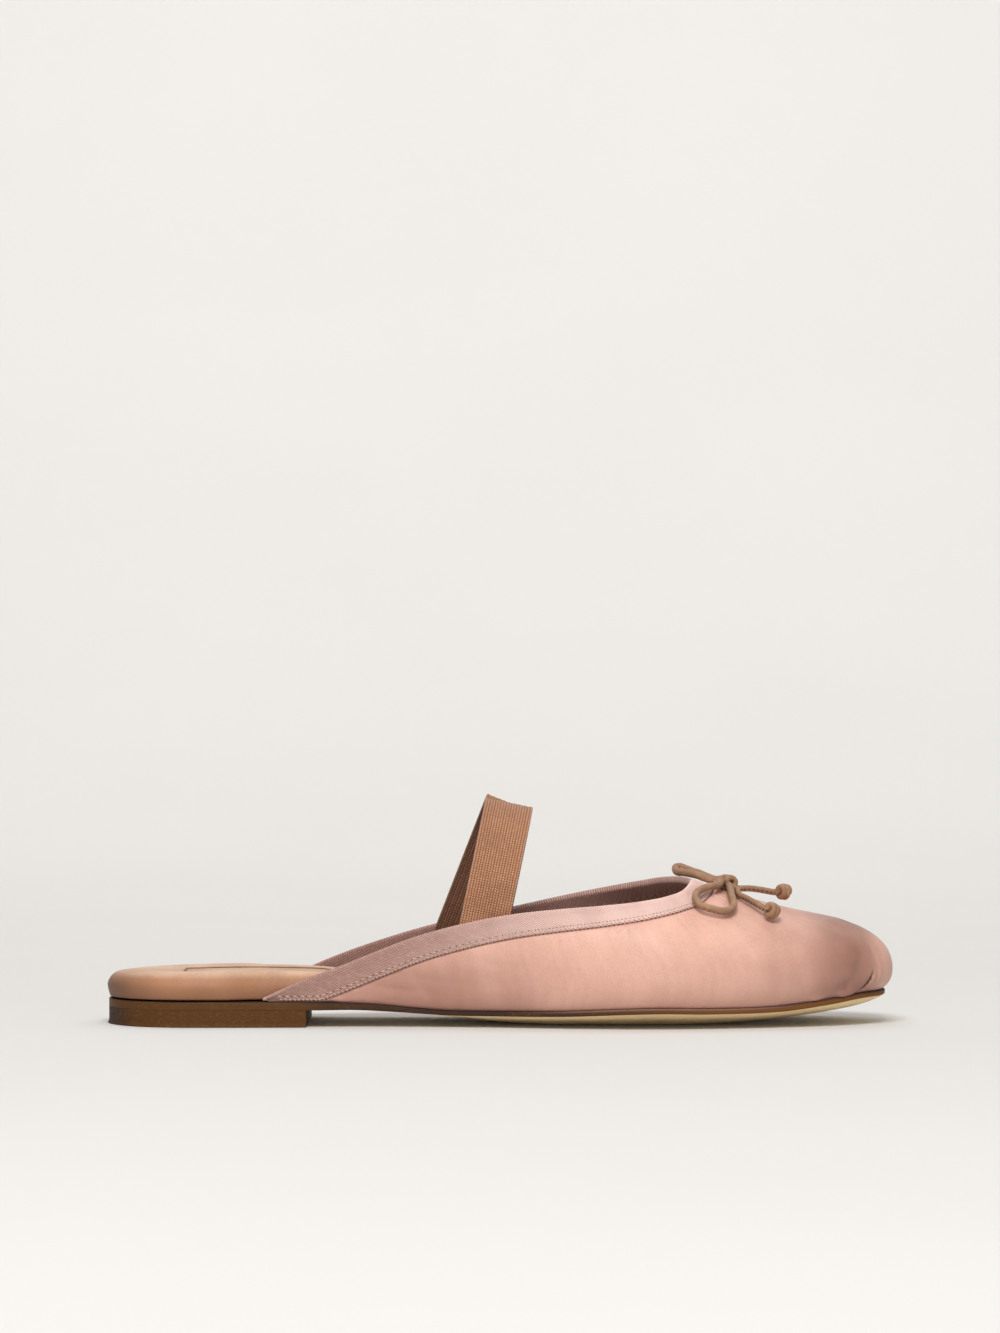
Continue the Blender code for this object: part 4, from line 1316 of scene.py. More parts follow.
@dataclass(frozen=True)
class Satin(Finish):
    """Peach satin: long fine warp threads down the wall and a soft sheen, with a duller, mauver
    tone painted low down, at the arch and on the toe's cap as painted shade."""

    name: str = "peach satin"
    roughness: float = 0.45
    specular: float = 0.32
    sheen: float = 0.03
    sheen_roughness: float = 0.3
    colour: tuple = srgb(240, 192, 174)
    deep: tuple = srgb(206, 156, 138)
    # worn: the tone of scuffs and specks, also used for the painted shade low down and at the arch
    worn: tuple = srgb(160, 114, 99)
    # cap: painted shade on the toe's cap
    cap: tuple = srgb(148, 106, 92)
    # crease: painted shade in the creases
    crease: tuple = srgb(84, 52, 46)

    def paint(self, graph: Graph) -> dict[str, Socket]:
        """Threads, clouds of tone, scuffs, and painted shade low down, at the arch, cap and creases."""
        lay, place = graph.lay(), graph.place()
        threads = Streaks.use(graph, Lay=lay, Width=0.22, Length=1.6)
        long_threads = Streaks.use(graph, Lay=lay, Width=0.55, Length=60)
        cloud = graph.noise(place, 0.045, 3)
        tone = graph.tint(self.colour, self.deep, cloud, 0.35, 0.7, 0, 0.4)
        bands = graph.spread(long_threads["Soft"], 0.36, 0.7, 0, 0.22)
        tone = graph.mix(bands, tone, self.deep)
        tone = graph.tint(tone, self.deep, threads["Height"], 0.3, 0.72, 0, 0.3)
        x, _, height = graph.split(place)
        # painted shade: darker low down and round the arch
        low = graph.spread(height, 6, 36, 1, 0)
        off_arch = graph.math("ABSOLUTE", graph.plus(x, 24))
        arch = graph.spread(off_arch, 8, 52, 0.95, 0.26)
        low_arch_shade = graph.times(low, graph.times(arch, graph.spread(cloud, 0.3, 0.6, 0.75, 1)))
        scuffs = Scuffs.use(graph, Place=place, Amount=0.2)
        tone = graph.mix(graph.math("MAXIMUM", low_arch_shade, scuffs["Mask"]), tone, self.worn)
        # painted shade on the toe's cap, growing towards its front and easing off at the very tip
        cap = graph.plus(graph.spread(x, 60, 100, 0, 0.4), graph.spread(x, 92, 112, 0, 0.6))
        cap = graph.times(cap, graph.spread(cloud, 0.32, 0.6, 0.8, 1))
        cap = graph.times(cap, graph.spread(x, 114, 122, 1, 0.3))
        tone = graph.mix(cap, tone, self.cap)
        speck = graph.noise(place, 2.6, 2, 0.7)
        tone = graph.tint(tone, self.worn, speck, 0.42, 0.68, 0, 0.17)
        # painted shade in the creases, from the depth of the folds
        crease = graph.spread(graph.attribute("crease_shade"), 0.1, 0.6, 0, 0.95)
        rough = graph.spread(threads["Soft"], 0.3, 0.7, self.roughness - 0.05, self.roughness + 0.08)
        soft = graph.bump(long_threads["Soft"], 0.06, 0.4)
        return {
            "Base Color": graph.mix(crease, tone, self.crease),
            "Roughness": rough,
            "Normal": graph.bump(threads["Height"], 0.04, 0.6, soft),
        }


@dataclass(frozen=True)
class Lining(Finish):
    """Plain woven cotton inside the upper."""

    name: str = "cotton lining"
    roughness: float = 0.85
    specular: float = 0.25
    colour: tuple = srgb(188, 140, 118)
    deep: tuple = srgb(150, 106, 88)

    def paint(self, graph: Graph) -> dict[str, Socket]:
        """A plain weave of 0.5 mm threads with painted shade in its grooves, and soft wear."""
        weave = ThreadRibs.use(graph, Lay=graph.lay(), Rib=0.5, Turn=0.5, Break=1)
        cloud = graph.noise(graph.place(), 0.08, 4)
        tone = graph.tint(self.colour, self.deep, cloud, 0.35, 0.7, 0, 0.8)
        # painted shade in the weave's grooves
        tone = graph.mix(graph.times(weave["Groove"], 0.35), tone, self.deep)
        return {"Base Color": tone, "Normal": graph.bump(weave["Height"], 0.08, 0.8)}


@dataclass(frozen=True)
class Grosgrain(Finish):
    """Cotton ribbon: slanted thread ribs, greyish mauve, painted paler and pinker to the front as
    painted light, and darker inside the opening and in its rib grooves as painted shade."""

    name: str = "grosgrain ribbon"
    roughness: float = 0.78
    specular: float = 0.3
    sheen: float = 0.15
    colour: tuple = srgb(180, 140, 129)
    # front: painted light, paler and pinker towards the front
    front: tuple = srgb(250, 213, 203)
    # groove: the dark of random cloud, and painted shade in the grooves and inside the opening
    groove: tuple = srgb(112, 78, 70)
    light: tuple = srgb(242, 218, 206)

    def paint(self, graph: Graph) -> dict[str, Socket]:
        """Ribs 0.78 mm apart, yarn differing by turn, painted light in front and painted shade inside."""
        lay, place = graph.lay(), graph.place()
        ribs = ThreadRibs.use(graph, Lay=lay, Rib=0.78, Turn=0.9, Break=0.25, Lean=0)
        x, y, _ = graph.split(place)
        _, across, _ = graph.split(lay)
        # painted light: paler and pinker towards the front, mostly on the outer side
        outer = graph.spread(y, 1, 9, 1, 0.15)
        painted_front_light = graph.times(graph.spread(x, -45, 45), outer)
        tone = graph.mix(painted_front_light, self.colour, self.front)
        cloud = graph.noise(place, 0.12, 4)
        tone = graph.tint(tone, self.groove, cloud, 0.4, 0.7, 0, 0.14)
        # painted shade inside the opening
        inner = graph.times(graph.spread(across, -0.3, 2.2, 0, 0.1), graph.spread(x, -30, 50, 0.5, 1))
        tone = graph.mix(inner, tone, self.groove)
        yarn = graph.spread(ribs["Yarn"], 0.4, 0.75, 0, 0.16)
        tone = graph.mix(yarn, tone, self.light)
        # painted shade in the rib grooves, stronger on the inner leg and the inner side
        share = graph.math("MAXIMUM", graph.spread(across, -0.3, 2.2, 0.3, 1), graph.spread(y, 1, 9))
        tone = graph.mix(graph.times(ribs["Groove"], share), tone, self.groove)
        valley_shade = graph.times(graph.spread(ribs["Height"], 0.3, 0.85, 0.55, 0), share)
        return {
            "Base Color": graph.mix(valley_shade, tone, self.groove),
            "Normal": graph.bump(ribs["Height"], 0.16, 0.9),
        }


@dataclass(frozen=True)
class Elastic(Finish):
    """Woven elastic: fine yarn turns over its ribs, paler where the ribs are rubbed."""

    name: str = "woven elastic"
    roughness: float = 0.75
    specular: float = 0.3
    sheen: float = 0.2
    colour: tuple = srgb(194, 134, 98)
    # groove: the dark of random cloud, and painted shade in the grooves
    groove: tuple = srgb(96, 60, 42)
    rubbed: tuple = srgb(236, 190, 152)

    def paint(self, graph: Graph) -> dict[str, Socket]:
        """Yarn turns 0.8 mm long that lean to and fro, two to a rib, painted shade between them."""
        lay = graph.lay()
        yarn = ThreadRibs.use(graph, Lay=lay, Rib=0.856, Turn=0.8, Break=0.85, Lean=0.4)
        cloud = graph.noise(graph.place(), 0.1, 3)
        tone = graph.tint(self.colour, self.groove, cloud, 0.4, 0.7, 0, 0.2)
        tone = graph.tint(tone, self.rubbed, yarn["Yarn"], 0.35, 0.75, 0.1, 0.32)
        # painted shade in the grooves between the yarn turns
        tone = graph.mix(yarn["Groove"], tone, self.groove)
        return {"Base Color": tone, "Normal": graph.bump(yarn["Height"], 0.2, 1)}


@dataclass(frozen=True)
class InsoleLeather(Finish):
    """Tan glove leather with a fine grain, its top painted pale as painted highlight, and painted
    deeper down its side and at the heel's end as painted shade."""

    name: str = "insole leather"
    roughness: float = 0.5
    specular: float = 0.4
    colour: tuple = srgb(184, 132, 98)
    # rubbed: painted highlight on the top
    rubbed: tuple = srgb(230, 194, 166)
    # side: painted shade down the side
    side: tuple = srgb(146, 100, 70)
    # deep: the tone of the grain and of scuffs, also used for the painted shade at the heel's end
    deep: tuple = srgb(104, 70, 50)
    # groove: painted shade in the panel's groove
    groove: tuple = srgb(92, 58, 41)
    cell: float = 0.34

    def paint(self, graph: Graph) -> dict[str, Socket]:
        """Grain, broad tone, a painted highlight on top, painted shade on the side, end and groove."""
        place = graph.place()
        grain = LeatherGrain.use(graph, Place=place, Cell=self.cell)
        x, y, height = graph.split(place)
        # painted highlight: the top is paler
        top_highlight = graph.spread(height, 14.6, 17.4, 0, 0.9)
        # painted shade: darker lower down the side
        tone = graph.tint(self.colour, self.side, height, 7.5, 14.5, 1, 0)
        tone = graph.mix(top_highlight, tone, self.rubbed)
        tone = graph.tint(tone, self.side, grain["Broad"], 0.35, 0.68, 0, 0.35)
        # painted shade at the heel's end
        end = graph.times(graph.spread(x, -125, -106, 0.9, 0), graph.spread(height, 12, 17.5, 1, 0.25))
        tone = graph.mix(end, tone, self.deep)
        tone = graph.tint(tone, self.deep, grain["Height"], 0.6, 0.15, 0, 0.16)
        scuffs = Scuffs.use(graph, Place=place, Amount=0.2)
        tone = graph.mix(scuffs["Mask"], tone, self.deep)
        # painted shade in the groove round the pressed panel
        rear, front, half, _ = Insole.panel
        x = graph.plus(x, SHOE_MIDDLE[0] - 0.5 * (rear + front))
        along = graph.math("DIVIDE", graph.math("ABSOLUTE", x), 0.5 * (front - rear))
        across = graph.math("DIVIDE", graph.math("ABSOLUTE", y), half)
        both = graph.plus(graph.math("POWER", across, 6), graph.math("POWER", along, 8))
        off = graph.math("SUBTRACT", graph.math("POWER", both, 1 / 6), 1)
        line = graph.spread(graph.math("ABSOLUTE", off), 0.008, 0.022, 0.85, 0)
        line = graph.times(line, graph.spread(height, 12, 14))
        rough = graph.spread(grain["Fine"], 0.3, 0.7, self.roughness - 0.06, self.roughness + 0.1)
        return {
            "Base Color": graph.mix(line, tone, self.groove),
            "Roughness": rough,
            "Normal": graph.bump(grain["Height"], 0.05, 0.7),
        }


@dataclass(frozen=True)
class SoleEdge(Finish):
    """The dyed and burnished edge of the outsole: as the lift at the heel, dark at the arch,
    orange-brown at the toe, with painted shade along its top rim where the satin and insole meet
    it, mauve there at the ball, where the welt's thread shows."""

    name: str = "sole edge"
    roughness: float = 0.6
    specular: float = 0.2
    heel: tuple = srgb(88, 55, 22)
    colour: tuple = srgb(58, 38, 24)
    toe: tuple = srgb(118, 72, 26)
    worn: tuple = srgb(104, 70, 38)
    # lip: painted shade along the top rim where the upper meets the sole
    lip: tuple = srgb(46, 31, 26)
    welt: tuple = srgb(146, 112, 102)

    def paint(self, graph: Graph) -> dict[str, Socket]:
        """Layers along the edge, rubbed spots, and the painted shade along the top rim."""
        place, lay = graph.place(), graph.lay()
        x, _, _ = graph.split(place)
        _, down, _ = graph.split(lay)
        layers = graph.noise(graph.vector("MULTIPLY", place, (0.12, 0.12, 2.4)), 1, 4, 0.6)
        scuffs = Scuffs.use(graph, Place=place, Amount=0.6)
        tone = graph.tint(self.heel, self.colour, x, -68, -46)
        tone = graph.tint(tone, self.toe, x, 10, 80)
        tone = graph.tint(tone, self.worn, layers, 0.4, 0.7, 0, 0.25)
        flecks = FibreFlecks.use(graph, Place=place)
        rear = graph.spread(x, -66, -50, 0.85, 0)
        tone = graph.mix(graph.times(flecks["Light"], rear), tone, self.worn)
        tone = graph.mix(graph.times(flecks["Dark"], rear), tone, self.lip)
        # painted shade along the top rim, with the welt thread's own colour at the ball
        lip = graph.times(graph.spread(down, 0.3, 0.7, 0.9, 0), graph.spread(x, -66, -56))
        lip = graph.math("MAXIMUM", lip, graph.spread(down, 0.05, 0.3, 0.9, 0))
        ball = graph.times(graph.spread(x, 0, 36, 0, 0.8), graph.spread(x, 72, 104, 1, 0.2))
        tone = graph.mix(lip, tone, graph.mix(ball, self.lip, self.welt))
        return {
            "Base Color": graph.mix(scuffs["Mask"], tone, self.worn),
            "Normal": graph.bump(layers, 0.08, 0.6),
        }


@dataclass(frozen=True)
class SoleLeather(Finish):
    """Natural sole leather underneath, dusty and scratched from the floor."""

    name: str = "sole leather"
    roughness: float = 0.7
    specular: float = 0.35
    colour: tuple = srgb(246, 222, 176)
    worn: tuple = srgb(232, 202, 160)

    def paint(self, graph: Graph) -> dict[str, Socket]:
        """Grain, dust and long scratches."""
        place = graph.place()
        grain = LeatherGrain.use(graph, Place=place, Cell=0.4)
        scuffs = Scuffs.use(graph, Place=place, Amount=0.9)
        scratch = graph.noise(graph.vector("MULTIPLY", place, (0.05, 1.6, 0.4)), 1, 3, 0.6)
        tone = graph.tint(self.colour, self.worn, grain["Broad"], 0.35, 0.65, 0, 0.55)
        tone = graph.tint(tone, self.worn, scratch, 0.56, 0.7, 0, 0.5)
        return {
            "Base Color": graph.mix(scuffs["Mask"], tone, self.worn),
            "Normal": graph.bump(grain["Height"], 0.05, 0.6),
        }


@dataclass(frozen=True)
class Leatherboard(Finish):
    """Pressed fibre board of the heel lift, with pale and dark flecks."""

    name: str = "leatherboard"
    roughness: float = 0.7
    specular: float = 0.2
    colour: tuple = srgb(88, 55, 22)
    # rear: painted shade at the rear end
    rear: tuple = srgb(56, 42, 32)
    light: tuple = srgb(126, 84, 42)
    dark: tuple = srgb(42, 26, 16)

    def paint(self, graph: Graph) -> dict[str, Socket]:
        """Flecks over a tone painted darker and greyer to the rear as painted shade."""
        place = graph.place()
        flecks = FibreFlecks.use(graph, Place=place)
        x, _, _ = graph.split(place)
        # painted shade: darker and greyer towards the rear
        tone = graph.tint(self.rear, self.colour, x, -124, -112)
        tone = graph.mix(graph.times(flecks["Light"], 0.8), tone, self.light)
        return {
            "Base Color": graph.mix(graph.times(flecks["Dark"], 0.85), tone, self.dark),
            "Normal": graph.bump(flecks["Height"], 0.08, 0.7),
        }


@dataclass(frozen=True)
class CordLeather(Finish):
    """Folded leather lace with fine grain and cracks across its bends."""

    name: str = "cord leather"
    roughness: float = 0.52
    specular: float = 0.45
    colour: tuple = srgb(162, 122, 93)
    deep: tuple = srgb(90, 64, 46)
    rubbed: tuple = srgb(206, 166, 128)

    def paint(self, graph: Graph) -> dict[str, Socket]:
        """Grain and rubbed patches."""
        place = graph.place()
        grain = LeatherGrain.use(graph, Place=place, Cell=0.24)
        cloud = graph.noise(place, 0.35, 4)
        tone = graph.tint(self.colour, self.rubbed, cloud, 0.42, 0.7, 0, 0.45)
        tone = graph.tint(tone, self.deep, grain["Height"], 0.6, 0.1, 0, 0.4)
        return {"Base Color": tone, "Normal": graph.bump(grain["Height"], 0.05, 0.7)}


@dataclass(frozen=True)
class Thread(Finish):
    """Twisted sewing thread."""

    name: str = "sewing thread"
    roughness: float = 0.7
    sheen: float = 0.2
    colour: tuple = srgb(214, 184, 164)
    deep: tuple = srgb(150, 116, 98)

    def paint(self, graph: Graph) -> dict[str, Socket]:
        """The twist as fine noise in tone."""
        fine = graph.noise(graph.place(), 2.5, 2)
        return {
            "Base Color": graph.tint(self.colour, self.deep, fine, 0.35, 0.7, 0, 0.7),
            "Normal": graph.bump(fine, 0.05, 0.6),
        }


@dataclass(frozen=True)
class Paper(Finish):
    """The pale studio sweep."""

    name: str = "studio sweep"
    roughness: float = 0.9
    specular: float = 0.2
    colour: tuple = srgb(222, 221, 219)

    def paint(self, graph: Graph) -> dict[str, Socket]:
        """A barely visible unevenness."""
        cloud = graph.noise(graph.place(), 0.004, 3)
        tone = tuple(0.985 * c for c in self.colour[:3]) + (1,)
        return {"Base Color": graph.tint(self.colour, tone, cloud, 0.3, 0.7)}


class Wardrobe:
    """Makes each finish once and gives the materials of finishes in order."""

    def __init__(self) -> None:
        """Starts empty."""
        self.made: dict[str, Material] = {}

    def __call__(self, *finishes: Finish) -> list[Material]:
        """The materials of finishes.

        Args:
            finishes: the finishes.

        Returns:
            Their materials in order.
        """
        for finish in finishes:
            if finish.name not in self.made:
                self.made[finish.name] = finish.build()
        return [self.made[finish.name] for finish in finishes]


# ---- pieces
def settle(piece: Piece, slot: str, *nodes: str) -> Piece:
    """Lets a piece ride with the shoe and stand for its solids.

    Args:
        piece: the piece.
        slot: its material slot; not used.
        nodes: the solids that it stands for.

    Returns:
        The piece.
    """
    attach(piece, "root")
    if nodes:
        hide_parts(*nodes)
    log.info("%s: %d faces", piece.name, len(piece.data.polygons))
    return piece


@dataclass(frozen=True)
class Fold:
    """A crease of the satin: a line over the shoe along which its face dips or swells.

    The change is a bell across the line, and a softer bell of the other sign on its lower
    side; along the line it rises from one end and dies out at the other."""

    way: tuple  # points (x, z) on a side, or (x, y, z)
    depth: float  # under 0 is a trough
    width: float
    side: Side = Side.LATERAL
    partner: float = 0.35  # share of the swell beside a trough

    def line(self, last: Last, count: int = 28) -> Array:
        """Dense points of the fold's line, a polynomial through its own points.

        Args:
            last: the shoe's form.
            count: number of points.

        Returns:
            (count, 3) points.
        """
        way = np.array(self.way, float)
        if way.shape[1] == 2:
            y = last.wall_y(way[:, 0], np.maximum(way[:, 1], last.belt_height(way[:, 0])), self.side)
            way = np.column_stack([way[:, 0], y, way[:, 1]])
        along = lengths_along(way)
        bent = polyfit(along, way, len(way) - 1)
        return polyval(np.linspace(0, along[-1], count), bent).T

    def change(self, last: Last, points: Array, normals: Array) -> Array:
        """How far points of the face move along their normals.

        Args:
            last: the shoe's form.
            points: (n, m, 3) points.
            normals: (n, m, 3) normals.

        Returns:
            (n, m) moves in mm.
        """
        line = self.line(last)
        reach = 4 * self.width
        out = np.zeros(points.shape[:2])
        low, high = line.min(axis=0) - reach, line.max(axis=0) + reach
        near = np.all((points > low) & (points < high), axis=-1)
        if not near.any():
            return out
        chosen, facing = points[near], normals[near]
        gaps = chosen[:, None] - line[None]
        far = np.linalg.norm(gaps, axis=-1)
        nearest = far.argmin(axis=1)
        rows = np.arange(len(chosen))
        run = unit(np.gradient(line, axis=0))[nearest]
        gap = gaps[rows, nearest]
        along = np.sum(gap * run, axis=-1)
        share = nearest / (len(line) - 1)
        side = np.sum(np.cross(run, facing) * gap, axis=-1)
        rise = np.sin(pi * np.clip(0.06 + 0.88 * share, 0, 1)) ** 0.8
        beyond = np.exp(-((along / (1.2 * self.width)) ** 2))
        ends = (nearest == 0) | (nearest == len(line) - 1)
        rise = np.where(ends, rise * beyond, rise)
        across = side / self.width
        bell = np.exp(-(across**2)) - self.partner * np.exp(-(((across - 1.9) / 1.3) ** 2))
        out[near] = self.depth * rise * bell
        return out


FOLDS: tuple[Fold, ...] = (
    # the sharp crease beside the toe's tip, and the pleat that stands up next to it
    Fold(((240.1, 9.8), (241, 12), (241.9, 14.3), (242.7, 17.2)), -1, 0.52, partner=0.5),
    Fold(((244.4, 11.5), (245, 15.5), (244.7, 20)), 0.35, 1),
    # the arc round the toe's cap with the hollows inside it
    Fold(((236.5, 33), (240.2, 27.6), (243, 22.4), (244, 17.8)), -0.6, 1.9, partner=0.6),
    Fold(((238.8, 25.5), (238.6, 20), (237, 16)), -0.75, 2.3, partner=0.3),
    Fold(((236.6, 15), (234, 12.6), (230.5, 11.4)), -0.6, 1.8),
    Fold(((234.8, 9), (234.6, 10.6), (233.8, 13)), -0.5, 1, partner=0.6),
    Fold(((228.5, 9), (228, 11.6), (226.4, 15.5)), -0.36, 1.1),
    Fold(((221, 8.6), (220.2, 12), (218.5, 17)), -0.26, 1.5),
    Fold(((226, 34.5), (230, 30), (232, 24)), -0.35, 2.6),
    # soft hollows down the outer wall
    Fold(((212, 26), (213, 20), (212, 13)), -0.22, 3.6),
    Fold(((196, 30), (197.5, 22), (196.5, 12)), -0.2, 3.4),
    Fold(((181, 33), (182.5, 24), (182, 12)), -0.24, 3.2),
    Fold(((165, 30), (166.5, 22), (166, 12)), -0.2, 3),
    Fold(((150, 29), (151.5, 20), (150.5, 11)), -0.22, 2.8),
    Fold(((136, 26), (137.8, 18), (137, 10)), -0.2, 2.6),
    Fold(((122, 23), (124, 16), (124.5, 9.5)), -0.2, 2.2),
    Fold(((108, 21), (111, 14.5), (113, 9)), -0.2, 1.9),
    Fold(((97, 18.5), (101, 12.5), (104, 8.8)), -0.18, 1.6),
    # drag lines that run from the ribbon at the heel end
    Fold(((84, 13.6), (92, 12), (101, 11.2)), -0.2, 1.1),
    Fold(((93, 17), (103, 15), (115, 13.8)), -0.18, 1.4),
    Fold(((112, 23), (122, 20.4), (133, 18.8)), -0.16, 1.5),
    # short gathers under the bow and the throat
    Fold(((199.5, -9, 38.5), (203.5, -12.5, 36.6), (206, -16.5, 34.6)), -0.22, 1),
    Fold(((196, -12, 38.4), (196.5, -17, 36.6), (196, -22, 34)), -0.2, 1.1),
    Fold(((203.5, 2, 39.4), (209, 1, 38), (215, 0, 36.3)), -0.2, 1.4),
    Fold(((199, 9.5, 39.5), (203, 15, 37.6), (206, 21, 34)), -0.2, 1.3),
    # the inner wall
    Fold(((208, 27), (209, 20), (208, 13)), -0.22, 3.4, Side.MEDIAL),
    Fold(((188, 33), (190, 23), (189, 12)), -0.24, 3.4, Side.MEDIAL),
    Fold(((168, 32), (170, 22), (169.5, 12)), -0.22, 3, Side.MEDIAL),
    Fold(((147, 28), (149, 19), (149, 11)), -0.22, 2.8, Side.MEDIAL),
    Fold(((126, 24), (128.5, 16), (129, 9.5)), -0.2, 2.2, Side.MEDIAL),
    Fold(((106, 20), (109.5, 13.5), (112, 8.8)), -0.2, 1.8, Side.MEDIAL),
    Fold(((86, 14), (95, 12.2), (104, 11.4)), -0.2, 1.2, Side.MEDIAL),
    Fold(((238, 10.8), (239, 13.5), (239, 17)), -0.5, 0.6, Side.MEDIAL, 0.6),
    Fold(((230, 9.8), (230.4, 13), (229.5, 18)), -0.35, 1.2, Side.MEDIAL),
    Fold(((221, 9.2), (221.5, 12.5), (220.5, 17)), -0.25, 1.6, Side.MEDIAL),
)


# where the satin laps over the sole's edge beside the toe: x, half length, height, side
LAPS = (
    (233.2, 2.5, 1.3, Side.LATERAL),
    (224, 3, 0.6, Side.LATERAL),
    (230, 3, 0.9, Side.MEDIAL),
    (220.5, 3, 0.6, Side.MEDIAL),
)


@dataclass
class Upper:
    """The satin upper: outer face, lining and the edges between them."""

    last: Last
    columns: int = 541
    rows: int = 72
    wall: float = 1.4
    skived: float = 0.8
    step: float = 0.4
    step_at: tuple = (6.9, 8.4)
    tuck: float = 0.24
    eased_from: int = 12  # row, below the ribbon
    core: tuple = (180.0, 12.0)  # front end and height of the middle line that normals face from
    gathers: tuple = ((0.11, 3, 7.0, 4.5), (0.09, 11, 2.6, 1.1))  # height, seed, pitch, fade

    def places(self) -> Array:
        """Column places, twice as close round the toe as at the heel end."""
        even = np.linspace(-1, 1, self.columns)
        return even * (0.5 + 0.5 * np.abs(even))

    def depths(self, total: Array) -> Array:
        """Row depths of each column: wide under the ribbon, close over the step and close
        again at the foot.

        Args:
            total: length of each column.

        Returns:
            (columns, rows) depths.
        """
        above = [0 * total, np.minimum(6.8, 0.2 * total), np.minimum(9.6, 0.34 * total)]
        below = [np.maximum(total - 10, 0.72 * total), total]
        end = self.rows - 1
        knots = np.stack(above + below, axis=-1)
        return share_rows(np.arange(self.rows), (0, 4, 14, end - 16, end), knots)

    def eased(self, points: Array, normals: Array) -> tuple[Array, Array]:
        """Points and normals averaged a little with their neighbours, after every normal has
        been turned away from the shoe's middle line.

        Args:
            points: (n, m, 3) points of the face.
            normals: (n, m, 3) normals.

        Returns:
            Both, eased.
        """
        x, y, z = np.moveaxis(points, -1, 0)
        front, level = self.core
        away = np.stack([np.maximum(x - front, 0), y - PLAN("centre", x), z - level], axis=-1)
        normals = normals * np.where(np.sum(normals * away, axis=-1, keepdims=True) < 0, -1, 1)
        for _ in range(4):
            normals[:, 1:-1] = unit(normals[:, :-2] + 2 * normals[:, 1:-1] + normals[:, 2:])
            normals[1:-1] = unit(normals[:-2] + 2 * normals[1:-1] + normals[2:])
        top = self.eased_from
        for _ in range(3):
            beside = points[:, top - 1 : -3] + points[:, top + 1 : -1]
            points[:, top:-2] = 0.25 * beside + 0.5 * points[:, top:-2]
        return points, normals

    def relief(self, points: Array, normals: Array, depths: Array, total: Array) -> tuple[Array, Array]:
        """Moves of the satin's face in mm - placed folds, small gathers under the ribbon,
        pleats and laps at the toe's foot and a faint low unevenness - and the painted shade in
        its creases.

        Args:
            points: (n, m, 3) points of the face.
            normals: (n, m, 3) normals.
            depths: (n, m) depths below the collar.
            total: length of each column.

        Returns:
            (n, m) moves and (n, m) painted crease shade.
        """
        places = self.places()
        along = lengths_along(points[:, -1])[:, None]
        below = depths - self.step_at[1]
        gathers = sum(
            high * ripple(along, seed, pitch) * np.exp(-np.maximum(below, 0) / fade)
            for high, seed, pitch, fade in self.gathers
        )
        over_foot = total[:, None] - depths
        toe = np.exp(-((places[:, None] / 0.16) ** 2))
        pleats = 0.16 * toe * ripple(along, 8, 5) * np.exp(-over_foot / 4)
        broad = 0.10 * ripple(along + 0.6 * depths, 5, 34) * smooth_step(10, 24, depths)
        small = (gathers + pleats + broad) * smooth_step(*self.step_at, depths)
        calm = smooth_step(0, 1.2, over_foot) * smooth_step(6, 9, depths)
        folds, crease_shade = np.zeros_like(small), np.zeros_like(small)
        for fold in FOLDS:
            change = fold.change(self.last, points, normals)
            folds += change
            # painted shade in each trough, more of it for narrow folds
            crease_shade += np.maximum(-change, 0) * min(1, 0.35 / fold.width**1.5)
        laps = np.zeros_like(small)
        for x, half, high, side in LAPS:
            here = np.exp(-(((points[..., 0] - x) / half) ** 2) - ((over_foot - 1.2) / 1.2) ** 2)
            laps += high * here * (places[:, None] * side.sign > 0)
        return (small + folds) * calm + laps, crease_shade * calm

    def build(self, wardrobe: Wardrobe) -> Piece:
        """Makes the upper.

        Args:
            wardrobe: the finishes.

        Returns:
            The piece.
        """
        skin = Skin(self.last, self.places())
        depths = self.depths(skin.total)
        points, normals = self.eased(*skin.at(depths))
        over_foot = skin.total[:, None] - depths
        upright = smooth_step(3, 0, over_foot)[..., None]
        flat = unit(normals * (1, 1, 0))
        normals_in = unit(normals * (1 - upright) + flat * upright)
        tall = np.clip((skin.total - 8.85) / 1.5, 0, 1)[:, None]
        bare = smooth_step(*self.step_at, depths) * tall
        outer = -self.step * (1 - bare)
        inner = -(self.step + self.skived) * (1 - bare) - self.wall * bare
        relief, crease_shade = self.relief(points, normals, depths, skin.total)
        moved = outer + relief * tall
        face = points + moved[..., None] * normals
        lining = points + inner[..., None] * normals_in
        down = np.array([0, 0, self.tuck])
        foot = face[:, -1:] - down - 0.25 * flat[:, -1:]
        inside_foot = lining[:, -1:] - down
        loop = np.concatenate([face, foot, inside_foot, lining[:, ::-1]], axis=1)
        along = lengths_along(points[:, -1])
        v = np.concatenate([depths, depths[:, -1:] + 0.3, depths[:, -1:] + 0.3, depths[:, ::-1]], axis=1)
        lay = crossed(along[:, None], v)
        slots = np.where(np.arange(loop.shape[1]) < self.rows + 1, 0, 1)
        crease_shade = np.concatenate([crease_shade, np.zeros_like(crease_shade), np.zeros((self.columns, 2))], axis=1)
        surface = Surface(loop, lay, wraps=True, capped=True, slot=slots, crease_shade=crease_shade)
        piece = make_piece("satin_upper", [surface], wardrobe(Satin(), Lining()), 60)
        return settle(piece, "satin", "upper")


